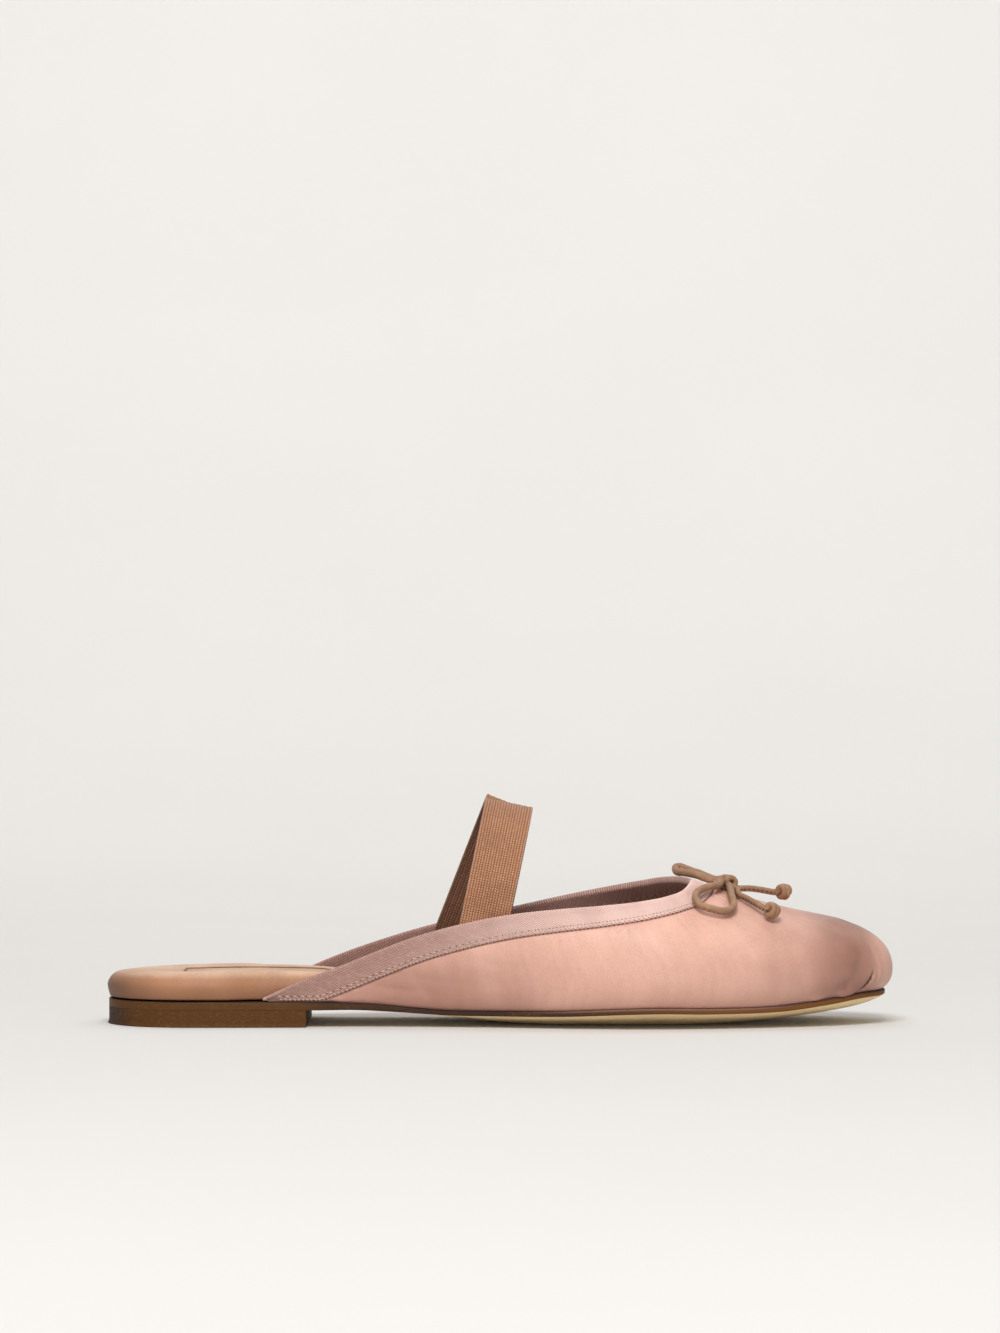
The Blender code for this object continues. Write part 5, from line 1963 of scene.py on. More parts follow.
@dataclass
class RibbonBinding:
    """The folded twill ribbon round the opening, with its corded edge and its stitches."""

    last: Last
    columns: int = 451  # traced ones; the ribbon's own are read between them
    width: float = 7.25
    thick: float = 0.45
    proud: float = 0.4
    inside: float = -1.95  # inner face of the inner leg
    rib: float = 0.78  # pitch of the slanted ribs along the ribbon
    slant: float = 1.25  # how far a rib runs along for each mm across
    rib_rise: float = 0.09  # on the outer leg
    rib_gain: float = 1.7  # of the ribs on the fold and inside
    fold_rise: tuple = (0.75, 0.3)  # outer and inner face of the fold over the satin's edge
    edge_in: float = 0.16  # how far the cut edges are drawn in
    steps_a_rib: int = 5
    legs: int = 6  # points down a leg
    turns: int = 9  # points round the fold
    tips: int = 6  # rings of a tapered rear end
    tip: float = 1.5  # its length

    def profile(self) -> tuple[Array, Array, Array]:
        """The ribbon's closed section: share of the leg below the edge (or height over it),
        offset from the satin, and how much of the ribs shows. It runs up the outer leg, over
        the fold by a half circle, down the inner leg and back along the inner faces.

        Returns:
            The three arrays, one number a point of the section.
        """
        turn = np.linspace(0, pi, self.turns)
        middle = 0.5 * (self.proud + self.inside)
        radius = 0.5 * (self.proud - self.inside)
        leg = np.array([1, 0.985, 0.9, 0.7, 0.45, 0.2])
        flat = np.ones(self.legs)
        outside, within = (-rise * np.sin(turn) for rise in self.fold_rise)
        share = np.concatenate([leg, outside, leg[::-1]])
        outer = np.concatenate([self.proud * flat, middle + radius * np.cos(turn), self.inside * flat])
        outer[[0, -1]] = [self.proud - self.edge_in, self.inside + self.edge_in]
        bend = middle - (radius - self.thick) * np.cos(turn)
        ends = (self.inside + self.thick) * flat, (self.proud - self.thick) * flat
        back = np.concatenate([ends[0], bend, ends[1]])
        back_share = np.concatenate([leg, within, leg[::-1]])
        shows = np.where(np.arange(2 * len(share)) < self.legs - 1, 1, self.rib_gain)
        shows[[0, *range(len(share) - 1, 2 * len(share))]] = 0
        return np.concatenate([share, back_share]), np.concatenate([outer, back]), shows

    def build(self, wardrobe: Wardrobe) -> list[Piece]:
        """Makes the ribbon and its threads. Its columns slant over the flat width, so that
        each rib is a few columns wide.

        Args:
            wardrobe: the finishes.

        Returns:
            The two pieces.
        """
        skin = Skin(self.last, np.linspace(-1, 1, self.columns))
        share, offset, shows = self.profile()
        leg = np.minimum(self.width, skin.total - 0.25)[:, None]
        depths = np.where(share > 0, share * leg, share)
        points, normals = skin.at(depths)
        base = points + offset[:, None] * normals
        along = lengths_along(skin.at(np.array([0]))[0][:, 0])
        half = len(share) // 2
        side = np.where(np.arange(len(share)) % half < half // 2, -1, 1)
        across = self.width * side * np.maximum(share, 0)
        across[half:] *= -1
        reach = self.slant * self.width + self.rib
        q = np.arange(-reach, along[-1] + reach, self.rib / self.steps_a_rib)
        wave = (np.abs(np.sin(pi * q / self.rib)) ** 0.8 - 0.6) * self.rib_rise
        rings = []
        for row, over in enumerate(across):
            u = np.clip(q - self.slant * over, 0, along[-1])
            line, out, middle = (read_along(kept[:, row], along, u) for kept in (base, normals, points))
            step = row % half
            if self.legs <= step < self.legs + self.turns:
                out = line - (middle + 0.5 * (self.proud + self.inside) * out)
            sign = -1 if step >= self.legs + self.turns else 1
            rings.append(line + (shows[row] * wave)[:, None] * sign * unit(out))
        grid = np.stack(rings, axis=1)
        lay = crossed(q[:, None], across[None])
        lay = np.pad(lay, ((self.tips, self.tips), (0, 0), (0, 0)), mode="edge")
        surface = Surface(self.with_tips(grid), lay, wraps=True)
        ribbon = make_piece("ribbon_binding", [surface], wardrobe(Grosgrain()), 60)
        settle(ribbon, "grosgrain", "collar_binding")
        return [ribbon, self.thread_rows(skin, along, leg, wardrobe)]

    def with_tips(self, grid: Array) -> Array:
        """Adds a tapered tip to each rear end: the end ring is carried on along the sole and
        shrunk to its lowest outer point by a quarter circle's curve.

        Args:
            grid: (n, k, 3) points of the ribbon.

        Returns:
            (n + 2 tips, k, 3) points.
        """
        parts = [grid]
        for end, order in ((0, -1), (-1, 1)):
            ring = grid[end]
            low = ring[0] + (0, 0, 0.05)
            w = np.linspace(0, 1, self.tips + 1)[1:, None, None]
            shrink = np.sqrt(1 - w**2) * (1 - 0.15 * w)
            tip = low + (ring - low) * shrink - self.tip * w * (1, 0, 0.02)
            parts = parts + [tip] if order == 1 else [tip[::-1]] + parts
        return np.concatenate(parts)

    def thread_rows(self, skin: Skin, along: Array, leg: Array, wardrobe: Wardrobe) -> Piece:
        """The threads on both legs: a stitch row with dark beads between its stitches as painted shade
        of the needle holes, and a corded edge of slanted turns with a dark bead under each as painted
        shade.

        Args:
            skin: the satin's face along the ribbon's columns.
            along: length of each column along the opening.
            leg: (n, 1) depth of the ribbon's lower edge.
            wardrobe: the finishes.

        Returns:
            The piece.
        """
        kinds = (  # inset, height over the leg, pitch, shift, length, radius, slant, slot
            (1.35, 0.08, 2.2, 0, 1.3, 0.2, 0.25, 0),
            # dark beads as painted shade of the needle holes
            (1.35, 0.03, 2.2, 1.1, 0.5, 0.17, 0, 1),
            (0.3, 0.02, 1.27, 0, 1.15, 0.27, 0.6, 2),
            # dark beads as painted shade under the edge's turns
            (0.02, -0.22, 1.27, 0.63, 0.75, 0.24, 0.2, 1),
        )
        rows = []
        legs = ((self.proud, 1), (self.inside, -1))
        for (face, out), kind in ((face_out, kind) for face_out in legs for kind in kinds):
            inset, over, pitch, shift, length, radius, slant, slot = kind
            points, normals = skin.at(np.maximum(leg - inset, 0.05))
            line = points[:, 0] + (face + out * over) * normals[:, 0]
            wanted = np.arange(4 + shift, along[-1] - 4, pitch)
            place = read_along(line, along, wanted)
            up = unit(read_along(normals[:, 0], along, wanted)) * out
            run = unit(np.gradient(place, axis=0))
            way = run + slant * np.cross(run, up)
            rows.append(stitches(place, way, up, length, radius, slot=slot))
        # painted shade: the dark beads' material
        dark = Thread("painted shade beads", colour=srgb(84, 60, 52), deep=srgb(56, 38, 33))
        edge = Thread("edge thread", colour=srgb(196, 160, 148), deep=srgb(150, 116, 106))
        threads = wardrobe(Thread(), dark, edge)
        return settle(make_piece("ribbon_stitches", rows, threads), "grosgrain")


@dataclass
class ElasticStrap:
    """The elastic over the instep, its ends tucked inside the opening."""

    last: Last
    width: float = 15.4
    thick: float = 1.2
    tuck: float = 10.0
    inset: float = 3.35
    near_base: tuple = (120.65, 35.0)
    far_base: tuple = (114.6, 35.0)
    crown: tuple = (127.85, 1.0, 69.2)
    ribs: int = 9
    rib_rise: float = 0.15
    cord_rise: float = 0.12  # of the two corded edges
    rows: int = 181
    across_steps: int = 73

    def line(self) -> tuple[Array, Array, Array]:
        """Middle line of the strap, its width direction and its face direction, from the
        lateral end inside the opening over the crown to the medial end: a straight tuck, then
        a quarter of an ellipse on each side.

        Returns:
            Three (rows, 3) arrays.
        """
        crown = np.array(self.crown)
        halves = []
        for side, (base_x, base_z) in ((Side.LATERAL, self.near_base), (Side.MEDIAL, self.far_base)):
            rise = crown[2] - base_z
            lean = (crown[0] - base_x) / rise
            tucks, arches = 24, 90
            drop = self.tuck * (1 - np.arange(tucks) / tucks)
            z = base_z - drop / hypot(1, lean)
            x = base_x + lean * (z - base_z)
            y = self.last.wall_y(x, z, side) - side.sign * self.inset
            tuck = np.column_stack([x, y, z])
            base_y = self.last.wall_y(base_x, base_z, side) - side.sign * self.inset
            turn = np.linspace(0, pi / 2, arches)
            z = base_z + rise * np.sin(turn)
            x = base_x + lean * (z - base_z)
            y = crown[1] + (base_y - crown[1]) * np.cos(turn)
            ahead, behind = (self.last.wall_y(base_x + s, base_z, side) for s in (6, -6))
            fade = np.concatenate([np.ones(tucks), np.cos(turn)])
            line = np.concatenate([tuck, np.column_stack([x, y, z])])
            width = np.column_stack(
                [np.ones(len(line)), (ahead - behind) / 12 * fade, np.full(len(line), -lean)]
            )
            halves.append((line, width))
        (near, near_width), (far, far_width) = halves
        line = np.concatenate([near, far[-2::-1]])
        middle = 0.5 * (near_width[-1:] + far_width[-1:])
        width = np.concatenate([near_width[:-1], middle, far_width[-2::-1]])
        along = lengths_along(line)
        wanted = np.linspace(0, along[-1], self.rows)
        line, width = (read_along(kept, along, wanted) for kept in (line, width))
        run = unit(np.gradient(line, axis=0))
        width = unit(width - np.sum(width * run, axis=1, keepdims=True) * run)
        return line, width, unit(np.cross(run, width))

    def build(self, wardrobe: Wardrobe) -> Piece:
        """Makes the strap. Its faces swell over each rib by a half wave, more along the two
        corded edges.

        Args:
            wardrobe: the finishes.

        Returns:
            The piece.
        """
        line, width, face = self.line()
        across = np.linspace(-0.5, 0.5, self.across_steps)
        wave = np.abs(np.sin(pi * self.ribs * (across + 0.5)))
        edge = smooth_step(0.44, 0.47, np.abs(across)) * (1 - smooth_step(0.485, 0.5, np.abs(across)))
        half = 0.5 * self.thick - self.rib_rise + self.rib_rise * wave**0.7 + self.cord_rise * edge
        half = half * (1 - 0.55 * smooth_step(0.487, 0.5, np.abs(across)))
        flat = line[:, None] + (across * self.width)[None, :, None] * width[:, None]
        lift = half[None, :, None] * face[:, None]
        loop = np.concatenate([flat + lift, (flat - lift)[:, ::-1]], axis=1)
        along = lengths_along(line)
        u = np.concatenate([across, across[::-1] + 2]) * self.width
        slots = np.where(np.arange(2 * len(across)) < len(across), 1, 0)
        lay = crossed(u[None, :], along[:, None])
        surface = Surface(loop, lay, wraps=True, capped=True, slot=slots)
        # painted shade: the strap's back face takes a darker copy of the elastic
        shaded_tones = {"colour": srgb(126, 86, 64), "groove": srgb(66, 42, 31), "rubbed": srgb(184, 134, 104)}
        back = Elastic("elastic back in painted shade", **shaded_tones)
        piece = make_piece("elastic_band", [surface], wardrobe(Elastic(), back), 50)
        return settle(piece, "woven_elastic", "elastic_strap")


@dataclass
class Insole:
    """The padded insole: a thick leather-covered heel pad that thins into the forefoot."""

    last: Last
    stations: int = 150
    top_rings: int = 30
    swell_cap: float = 0.7  # the padding swells at most this far
    swells: tuple = (40.0, 58.0)  # fully up to the first x, not at all beyond the second
    pressure: float = 4.0
    frames: int = 20
    dish: float = 0.8  # how far the tread is worn hollow
    wrinkles: tuple = (60.0, 5.0, 0.16, 2.9)  # middle, reach, depth and pitch
    rounding: float = 0.6
    sag: float = 0.12
    foot: float = 0.15  # how far the pad's foot stands in, as a share of its bulge
    end_reach: float = 10.8
    panel: tuple = (25.0, 71.0, 13.5, 0.5)  # rear, front, half width and depth of the pressed panel

    def floor(self, x: Array, y: Array) -> Array:
        """Height of the pad's underside."""
        return self.last.sole_top(x, y) + self.last.gap + self.sag

    def bed(self, x: Array, y: Array) -> Array:
        """Height of the pad's top."""
        return self.floor(x, y) + INSOLE("thick", x)

    def build(self, wardrobe: Wardrobe) -> Piece:
        """Makes the pad.

        Args:
            wardrobe: the finishes.

        Returns:
            The piece.
        """
        last = self.last
        x = end_spaced(*last.insole_ends, self.stations)
        ring = Ring.of(x, last.insole_width, self.end_reach)
        normals = Ring.of(x, last.sole_width, self.end_reach).normals
        ring = Ring(ring.loop, normals, ring.axis)
        thick = INSOLE("thick", ring.loop[:, 0])
        bulge = INSOLE("bulge", ring.loop[:, 0])
        radius = self.rounding * thick
        inner, under = ring.inset(radius), ring.inset(self.foot * bulge)
        shares = np.linspace(0, 1, self.top_rings)[:-1]
        rings = [with_height(ring.towards(inner, share), self.bed) for share in shares]
        lowest = 6  # degrees at which the rounding ends
        for turn in np.radians(np.linspace(90, lowest, 10)):
            plan = ring.inset(radius * (1 - cos(turn)) - bulge)
            low = self.floor(*ring.loop.T) + thick - radius * (1 - sin(turn))
            rings.append(at_height(plan, low))
        for share in (0.66, 0.33, 0.12, 0):
            plan = ring.inset(bulge * (self.foot - (1 + self.foot) * share**0.7))
            low = self.floor(*ring.loop.T) + share * (thick - radius * (1 - sin(radians(lowest))))
            rings.append(at_height(plan, low))
        shares = np.linspace(1, 0, 7)[1:]
        rings += [with_height(ring.towards(under, share), self.floor) for share in shares]
        piece = make_piece("insole_pad", [ring_surface(rings)], wardrobe(InsoleLeather()), 60)
        self.swell(piece)
        self.press(piece)
        return settle(piece, "insole_leather", "insole")

    def swell(self, piece: Piece) -> None:
        """Lets the open heel part swell as a stuffed cover: a short cloth run with pressure
        from inside, its underside and the part inside the upper held, then one subdivision.

        Args:
            piece: the pad.
        """
        start = points_of(piece.data)
        x, y, z = start.T
        free_to, held_from = self.swells
        held = (z < self.floor(x, y) + 0.12 * INSOLE("thick", x)) | (x > held_from)
        moved = self.cloth_run(piece, np.flatnonzero(held)) - start
        far = np.linalg.norm(moved, axis=1, keepdims=True)
        limit = self.swell_cap * smooth_step(held_from, free_to, x)[:, None]
        put_points(piece.data, start + moved * limit / (limit + far + 1e-9))
        finer = piece.modifiers.new("finer", "SUBSURF")
        finer.levels = finer.render_levels = 1
        shaped = piece.evaluated_get(bpy.context.evaluated_depsgraph_get())
        piece.data = bpy.data.meshes.new_from_object(shaped)
        piece.modifiers.clear()

    def cloth_run(self, piece: Piece, held: Array) -> Array:
        """Points in mm where the cover comes to rest.

        Args:
            piece: the pad.
            held: numbers of the vertices that stay.

        Returns:
            (n, 3) points on the shoe's own axes.
        """
        group = piece.vertex_groups.new(name="held")
        group.add(held.tolist(), 1, "REPLACE")
        cover = piece.modifiers.new("cover", "CLOTH")
        cover.settings.vertex_group_mass = group.name
        cover.settings.use_pressure = True
        cover.settings.uniform_pressure_force = self.pressure
        cover.settings.effector_weights.gravity = 0
        cover.settings.tension_stiffness = cover.settings.compression_stiffness = 40
        cover.settings.bending_stiffness = 2
        cover.point_cache.frame_start, cover.point_cache.frame_end = 1, self.frames
        for frame in range(1, self.frames + 1):
            bpy.context.scene.frame_set(frame)
        points = points_of(piece.evaluated_get(bpy.context.evaluated_depsgraph_get()).data)
        bpy.context.scene.frame_set(1)
        piece.modifiers.clear()
        return points

    def press(self, piece: Piece) -> None:
        """Presses the panel with its groove into the top, its corners round, and the fine
        wrinkles beside the ribbon's ends into the shoulder: short slanted waves.

        Args:
            piece: the pad.
        """
        points = points_of(piece.data)
        x, y, z = points.T
        rear, front, half, depth = self.panel
        across = np.abs(y) / half
        along = np.abs(x - 0.5 * (rear + front)) / (0.5 * (front - rear))
        off = (across**6 + along**8) ** (1 / 6)
        top = z > self.floor(x, y) + 0.8 * INSOLE("thick", x)
        drop = depth * (1 - smooth_step(0.975, 1.025, off)) * top
        drop += 0.35 * depth * np.exp(-(((off - 0.99) / 0.025) ** 2)) * top
        dish = smooth_step(14, 30, x) * smooth_step(92, 70, x)
        drop += self.dish * dish * smooth_step(21, 13, np.abs(y)) * top
        level = z - self.floor(x, y)
        middle, reach, deep, pitch = self.wrinkles
        patch = ((x - middle) / reach) ** 2 + ((level / INSOLE("thick", x) - 0.72) / 0.2) ** 2
        drop += deep * np.exp(-patch) * np.sin(2 * pi * (x - 0.5 * level) / pitch)
        points[:, 2] -= drop
        put_points(piece.data, points)
        piece.data.update()


@dataclass
class Outsole:
    """The thin leather outsole: flat rim, upright dyed edge, and an underside that rises
    towards the edge."""

    last: Last
    stations: int = 170
    shoulder: float = 3.0
    edge_round: float = 0.6
    end_reach: float = 10.8

    def build(self, wardrobe: Wardrobe) -> Piece:
        """Makes the outsole, its edge in one material and its faces in another.

        Args:
            wardrobe: the finishes.

        Returns:
            The piece.
        """
        last = self.last
        x = end_spaced(last.sole_back, last.sole_tip, self.stations)
        ring = Ring.of(x, last.sole_width, self.end_reach)
        top_at, low_at = SOLE("edge_top", ring.loop[:, 0]), SOLE("edge_bottom", ring.loop[:, 0])
        shoulder = ring.inset(self.shoulder)
        round_at = 0.12 + (self.edge_round - 0.12) * smooth_step(61, 72, ring.loop[:, 0])
        sole = ring.inset(round_at)
        shares = np.linspace(0, 1, 12)
        rings = [with_height(ring.towards(shoulder, share), last.sole_top) for share in shares]
        slots = [1] * len(shares)
        soft = 0.3
        for turn in np.radians(np.linspace(90, 0, 5)):
            plan = ring.inset(soft * (1 - cos(turn)))
            rings.append(at_height(plan, top_at - soft * (1 - sin(turn))))
            slots.append(1)
        for turn in np.radians(np.linspace(0, 90, 6)):
            plan = ring.inset(round_at * (1 - cos(turn)))
            rings.append(at_height(plan, low_at + round_at * (1 - sin(turn))))
            slots.append(1 if turn < radians(80) else 0)
        shares = np.linspace(1, 0, 14)[1:]
        rings += [with_height(ring.towards(sole, share), last.sole_bottom) for share in shares]
        slots += [0] * len(shares)
        points = np.stack(rings, axis=1)
        surface = Surface(np.concatenate([points, points[:1]]), slot=np.array(slots[:-1]))
        deep = np.max(points[:, :, 2], axis=1, keepdims=True) - points[:, :, 2]
        lay = np.stack([points[..., 0], deep], axis=-1)
        surface.lay = np.concatenate([lay, lay[:1]])
        leather = wardrobe(SoleLeather(), SoleEdge())
        piece = make_piece("leather_outsole", [surface], leather, 40)
        return settle(piece, "sole_leather", "outsole")


@dataclass
class HeelLift:
    """The low heel lift, flared a little at its foot."""

    last: Last
    breast: float = 64.2
    height: float = 5.32  # up to a hair under the outsole
    flare: float = 0.4
    flare_height: float = 1.2
    rounds: tuple = (0.25, 0.06)  # radius of the foot's edge and of the top's

    def build(self, wardrobe: Wardrobe) -> Piece:
        """Makes the lift: its plan outline carried up from the floor.

        Args:
            wardrobe: the finishes.

        Returns:
            The piece.
        """
        last = self.last
        turn = np.linspace(0, pi / 2, 60)
        x = last.sole_back + (self.breast - last.sole_back) * (1 - np.cos(turn))
        lateral, medial = (np.stack([x, side.sign * last.sole_width(x, side)], axis=-1) for side in Side)
        breast = np.linspace(lateral[-1], medial[-1], 31)[1:-1]
        loop = np.concatenate([lateral, breast, medial[:0:-1]])
        middle = np.array([0.5 * self.breast, 0])
        normals = outwards(loop)
        spread = 1 + self.flare / (0.5 * self.breast)
        flared = np.minimum(middle + (loop - middle) * spread, (self.breast, np.inf))
        soft, tight = self.rounds
        foot, top = (outline - soft * normals - middle for outline in (flared, loop))
        bends = np.radians((30, 60, 90))
        rings = [at_height(middle + foot * share, 0) for share in (0, 0.5, 1)]
        for t in bends:
            plan = flared - soft * (1 - sin(t)) * normals
            rings.append(at_height(plan, soft * (1 - cos(t))))
        for z in np.linspace(0.45, self.height - tight, 14):
            share = smooth_step(0, self.flare_height, z)
            rings.append(at_height(flared + (loop - flared) * share, z))
        for t in bends:
            plan = loop - tight * (1 - cos(t)) * normals
            rings.append(at_height(plan, self.height - tight * (1 - sin(t))))
        rings += [at_height(middle + top * share, self.height) for share in (0.5, 0)]
        piece = make_piece("heel_lift", [ring_surface(rings)], wardrobe(Leatherboard()), 40)
        return settle(piece, "leatherboard", "heel")


@dataclass
class Bow:
    """The leather-cord bow: two cords from the throat, each through the knot, round its loop,
    and out to its end knot."""

    last: Last
    radius: float = 1.05
    knot_at: tuple = (196.9, 3.2, 2.5)
    near_end_at: tuple = (210.4, -20.4, 3.6)
    far_end_at: tuple = (215.6, 8.5, 4.7)
    steps: int = 220
    stitch_pitch: float = 1.5

    def over_satin(self, place: Sequence[float]) -> Array:
        """A point given by its plan position and its height over the satin."""
        x, y, over = place
        return np.array([x, y, float(self.last.vamp_height(np.float64(x), np.float64(y))) + over])

    def route(
        self, loop: Table, end: Table, start: Sequence[float], spread: float, end_at: Sequence[float]
    ) -> Array:
        """The whole line of one cord: from the throat into the knot, round its loop, back
        through the knot and out along its end.

        Args:
            loop: the loop's line.
            end: the end's line.
            start: where the cord leaves the throat.
            spread: how far apart the passes lie inside the knot.
            end_at: its end knot.

        Returns:
            (n, 3) points.
        """
        knot = self.over_satin(self.knot_at)
        ring = self.last.satin_points(loop, 160)
        tail = self.last.satin_points(end, 60)
        first = np.array(start, float)
        into = np.linspace(first, knot + (0, 0, spread), 14)[:-1]
        way = np.concatenate([into, ring, knot[None] - (0, 0, spread), tail])
        way = np.concatenate([way, self.over_satin(end_at)[None]])
        line = evenly(way, self.steps)
        kernel = np.array([1, 4, 6, 4, 1]) / 16
        padded = np.concatenate([line[:1]] * 2 + [line] + [line[-1:]] * 2)
        return np.stack([np.convolve(padded[:, k], kernel, mode="valid") for k in range(3)], axis=-1)

    def up_at(self, path: Array) -> Array:
        """The satin's own upward direction under a path.

        Args:
            path: (n, 3) points.

        Returns:
            (n, 3) directions.
        """
        x, y = path[:, 0], path[:, 1]
        step = 0.05
        rise_x = (self.last.vamp_height(x + step, y) - self.last.vamp_height(x - step, y)) / (2 * step)
        rise_y = (self.last.vamp_height(x, y + step) - self.last.vamp_height(x, y - step)) / (2 * step)
        return unit(np.stack([-rise_x, -rise_y, np.ones_like(x)], axis=-1))

    def cord(self, name: str, path: Array, wardrobe: Wardrobe) -> Piece:
        """One cord with its sewn groove and the stitches in it.

        Args:
            name: the piece's name.
            path: (n, 3) points of the cord's line.
            wardrobe: the finishes.

        Returns:
            The piece.
        """
        up = self.up_at(path)
        section = CordSection(self.radius, flat=1.05, groove=0.22, groove_at=radians(-12))
        thin = smooth_step(0.66, 0.8, np.linspace(0, 1, len(path)))  # along its end
        surface = tube(path, up, section, fat=1.12 - 0.2 * thin)
        run, side, top = frames_along(path, up)
        out = cos(section.groove_at) * side + sin(section.groove_at) * top
        seam = path + 0.88 * self.radius * out
        along = lengths_along(path)
        wanted = np.arange(1, along[-1] - 1, self.stitch_pitch)
        way, place, middle = (read_along(kept, along, wanted) for kept in (run, seam, path))
        sewn = stitches(place, way, unit(place - middle), 1, 0.22, slot=1)
        dark = Thread("seam thread", colour=srgb(84, 58, 40), deep=srgb(52, 36, 26))
        return make_piece(name, [surface, sewn], wardrobe(CordLeather(), dark), 60)

    def wound(
        self,
        middle: Array,
        axis: Sequence[float],
        reach: tuple,
        turns: float,
        pitch: float,
        core: float = 0.0,
    ) -> list[Surface]:
        """A tight knot: a cord wound round an axis as a screw line whose ends tuck in, and if
        asked for a straight core that sticks out of it.

        Args:
            middle: its middle.
            axis: the axis it is wound round.
            reach: the screw line's two radii, the second one upright.
            turns: number of turns.
            pitch: step along the axis in a turn.
            core: length of the core.

        Returns:
            The surfaces.
        """
        way = unit(np.array(axis, float))
        first = unit(np.cross((0, 0, 1), way))
        second = np.cross(way, first)
        turn = np.linspace(0, 2 * pi * turns, 130)[:, None]
        share = turn / (pi * turns) - 1
        tuck = 1 - 0.75 * np.abs(share) ** 9
        path = middle + tuck * (reach[0] * np.cos(turn) * first + reach[1] * np.sin(turn) * second)
        path = path + 0.5 * pitch * turns * share * way
        section = CordSection(0.88 * self.radius, flat=0.95, groove=0.12, groove_at=radians(-60))
        made = [tube(path, path - middle + 1e-3 * way, section)]
        if core:
            line = middle + np.linspace(-0.5 * core, 0.5 * core, 9)[:, None] * way
            made.append(tube(line, first, CordSection(0.8 * self.radius)))
        return made

    def end_knot(
        self, name: str, place: Sequence[float], axis: Sequence[float], wardrobe: Wardrobe
    ) -> Piece:
        """A round stopper knot: the cord wound round its own end.

        Args:
            name: the piece's name.
            place: its plan place and height over the satin.
            axis: the axis it is wound round.
            wardrobe: the finishes.

        Returns:
            The piece.
        """
        surfaces = self.wound(self.over_satin(place), axis, (1.75, 1.75), 2.4, 1.6, 6)
        return make_piece(name, surfaces, wardrobe(CordLeather()), 60)

    def build(self, wardrobe: Wardrobe) -> list[Piece]:
        """Makes both cords, the bow's knot and the two end knots.

        Args:
            wardrobe: the finishes.

        Returns:
            The pieces.
        """
        exit_near, exit_far = np.array([193, 2.2, 43.6]), np.array([193.6, 4.4, 43.4])
        paths = [
            self.route(NEAR_LOOP, NEAR_END, exit_near, 0.5, self.near_end_at),
            self.route(FAR_LOOP, FAR_END, exit_far, 0.3, self.far_end_at),
        ]
        ends = [
            self.end_knot("near_end_knot", self.near_end_at, (-0.6, -0.7, 0.4), wardrobe),
            self.end_knot("far_end_knot", self.far_end_at, (-0.75, -0.65, 0.1), wardrobe),
        ]
        wound = self.wound(self.over_satin(self.knot_at), (0.45, -0.88, 0.12), (2.75, 1.8), 2.4, 1.95)
        knot = make_piece("bow_wrap", wound, wardrobe(CordLeather()), 60)
        cords = [self.cord(name, path, wardrobe) for name, path in zip(("near_lace", "far_lace"), paths)]
        settle(knot, "cord_leather", "bow_knot")
        settle(ends[0], "cord_leather", "end_knot_near")
        settle(ends[1], "cord_leather", "end_knot_far")
        settle(cords[0], "cord_leather", "bow_loop_near", "bow_end_near")
        settle(cords[1], "cord_leather", "bow_loop_far", "bow_end_far")
        return cords + ends + [knot]


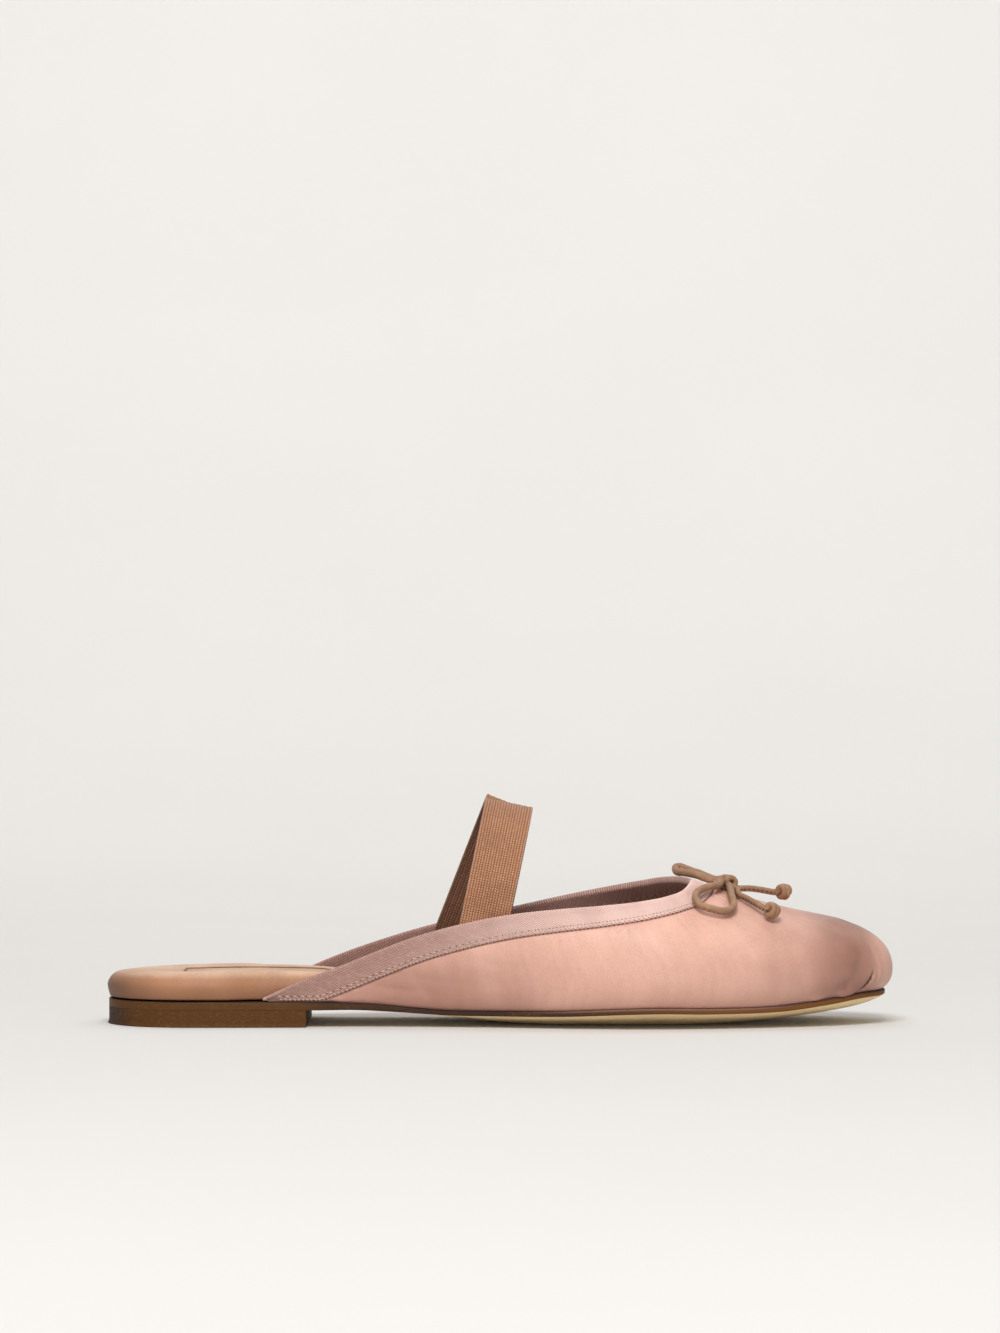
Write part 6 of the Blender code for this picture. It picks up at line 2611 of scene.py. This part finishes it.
# ---- studio
@dataclass
class Studio:
    """Camera, pale sweep and soft lights."""

    camera_at: tuple = (0.0, -1.6, 0.113)
    lens: float = 135.84
    sweep_front: float = -5.0
    sweep_back: float = 2.2
    sweep_rise: float = 2.4
    sweep_bend: float = 1.3

    def camera(self) -> Piece:
        """A level camera at the shoe's outer side.

        Returns:
            The camera.
        """
        data = bpy.data.cameras.new("studio_camera")
        data.lens = self.lens
        data.sensor_fit = "VERTICAL"
        data.sensor_height = 36
        data.clip_start = 0.01
        made = in_scene("studio_camera", data)
        made.location = self.camera_at
        made.rotation_euler = (radians(90), 0, 0)
        bpy.context.scene.camera = made
        return made

    def sweep(self, wardrobe: Wardrobe) -> Piece:
        """The floor, bent up behind in a quarter circle into a backdrop.

        Args:
            wardrobe: the finishes.

        Returns:
            The sweep.
        """
        turn = np.linspace(0, pi / 2, 40)
        r = self.sweep_bend
        y = np.concatenate([[self.sweep_front], self.sweep_back - r + r * np.sin(turn), [self.sweep_back]])
        z = np.concatenate([[0], r - r * np.cos(turn), [self.sweep_rise]])
        x = np.linspace(-2.6, 2.6, 9)
        points = crossed(x[:, None], y[None], z[None])
        quads = cell_corners(np.arange(len(x) * len(y)).reshape(len(x), -1).T[None])
        mesh = bpy.data.meshes.new("studio_sweep")
        mesh.from_pydata(points.reshape(-1, 3).tolist(), [], quads.reshape(-1, 4).tolist())
        mesh.materials.append(*wardrobe(Paper()))
        mesh.shade_smooth()
        made = in_scene("studio_sweep", mesh)
        return made

    def light(self, name: str, at: tuple, aim: tuple, size: tuple, power: float, colour: tuple) -> None:
        """One soft area light.

        Args:
            name: its name.
            at: where it hangs.
            aim: the point it faces.
            size: its width and height.
            power: its power in watts.
            colour: its colour.
        """
        data = bpy.data.lights.new(name, "AREA")
        data.shape = "RECTANGLE"
        data.size, data.size_y = size
        data.energy = power
        data.color = colour
        made = in_scene(name, data)
        made.location = at
        made.rotation_euler = (Vector(aim) - Vector(at)).to_track_quat("-Z", "Y").to_euler()

    def lights(self) -> None:
        """A key softbox high in front, a broad one overhead, a low fill under the toe, one for
        the sweep alone, and a dim pale world."""
        world = bpy.data.worlds.new("studio_world")
        world.use_nodes = True
        back = world.node_tree.nodes["Background"]
        back.inputs["Color"].default_value = (1, 0.985, 0.965, 1)
        back.inputs["Strength"].default_value = 0.3
        bpy.context.scene.world = world
        pale = (1, 0.985, 0.965)
        self.light("key", (-0.1, -1.2, 1.5), (0, 0, 0.03), (0.8, 0.6), 24.5, pale)
        self.light("overhead", (0.1, 0.1, 1.8), (0, 0, 0), (1.8, 1), 5, pale)
        self.light("fill", (0.3, -1.75, 0.2), (0.05, 0, 0), (1.8, 0.3), 5.5, pale)
        self.light("backdrop", (0, 0.9, 1.7), (0, 2.1, 0.5), (3.4, 0.6), 24, pale)
        bpy.context.scene.view_settings.view_transform = "Standard"


def main() -> None:
    """Builds the shoe's pieces in order and dresses the set."""
    logging.basicConfig(level=logging.INFO, format="%(message)s")
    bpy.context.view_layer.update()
    last = Last()
    wardrobe = Wardrobe()
    studio = Studio()
    studio.camera()
    Bow(last).build(wardrobe)
    studio.sweep(wardrobe)
    studio.lights()
    for kind in (Outsole, HeelLift, Insole, Upper, RibbonBinding, ElasticStrap):
        kind(last).build(wardrobe)
        log.info("%s built", kind.__name__)


if __name__ == "__main__":
    main()
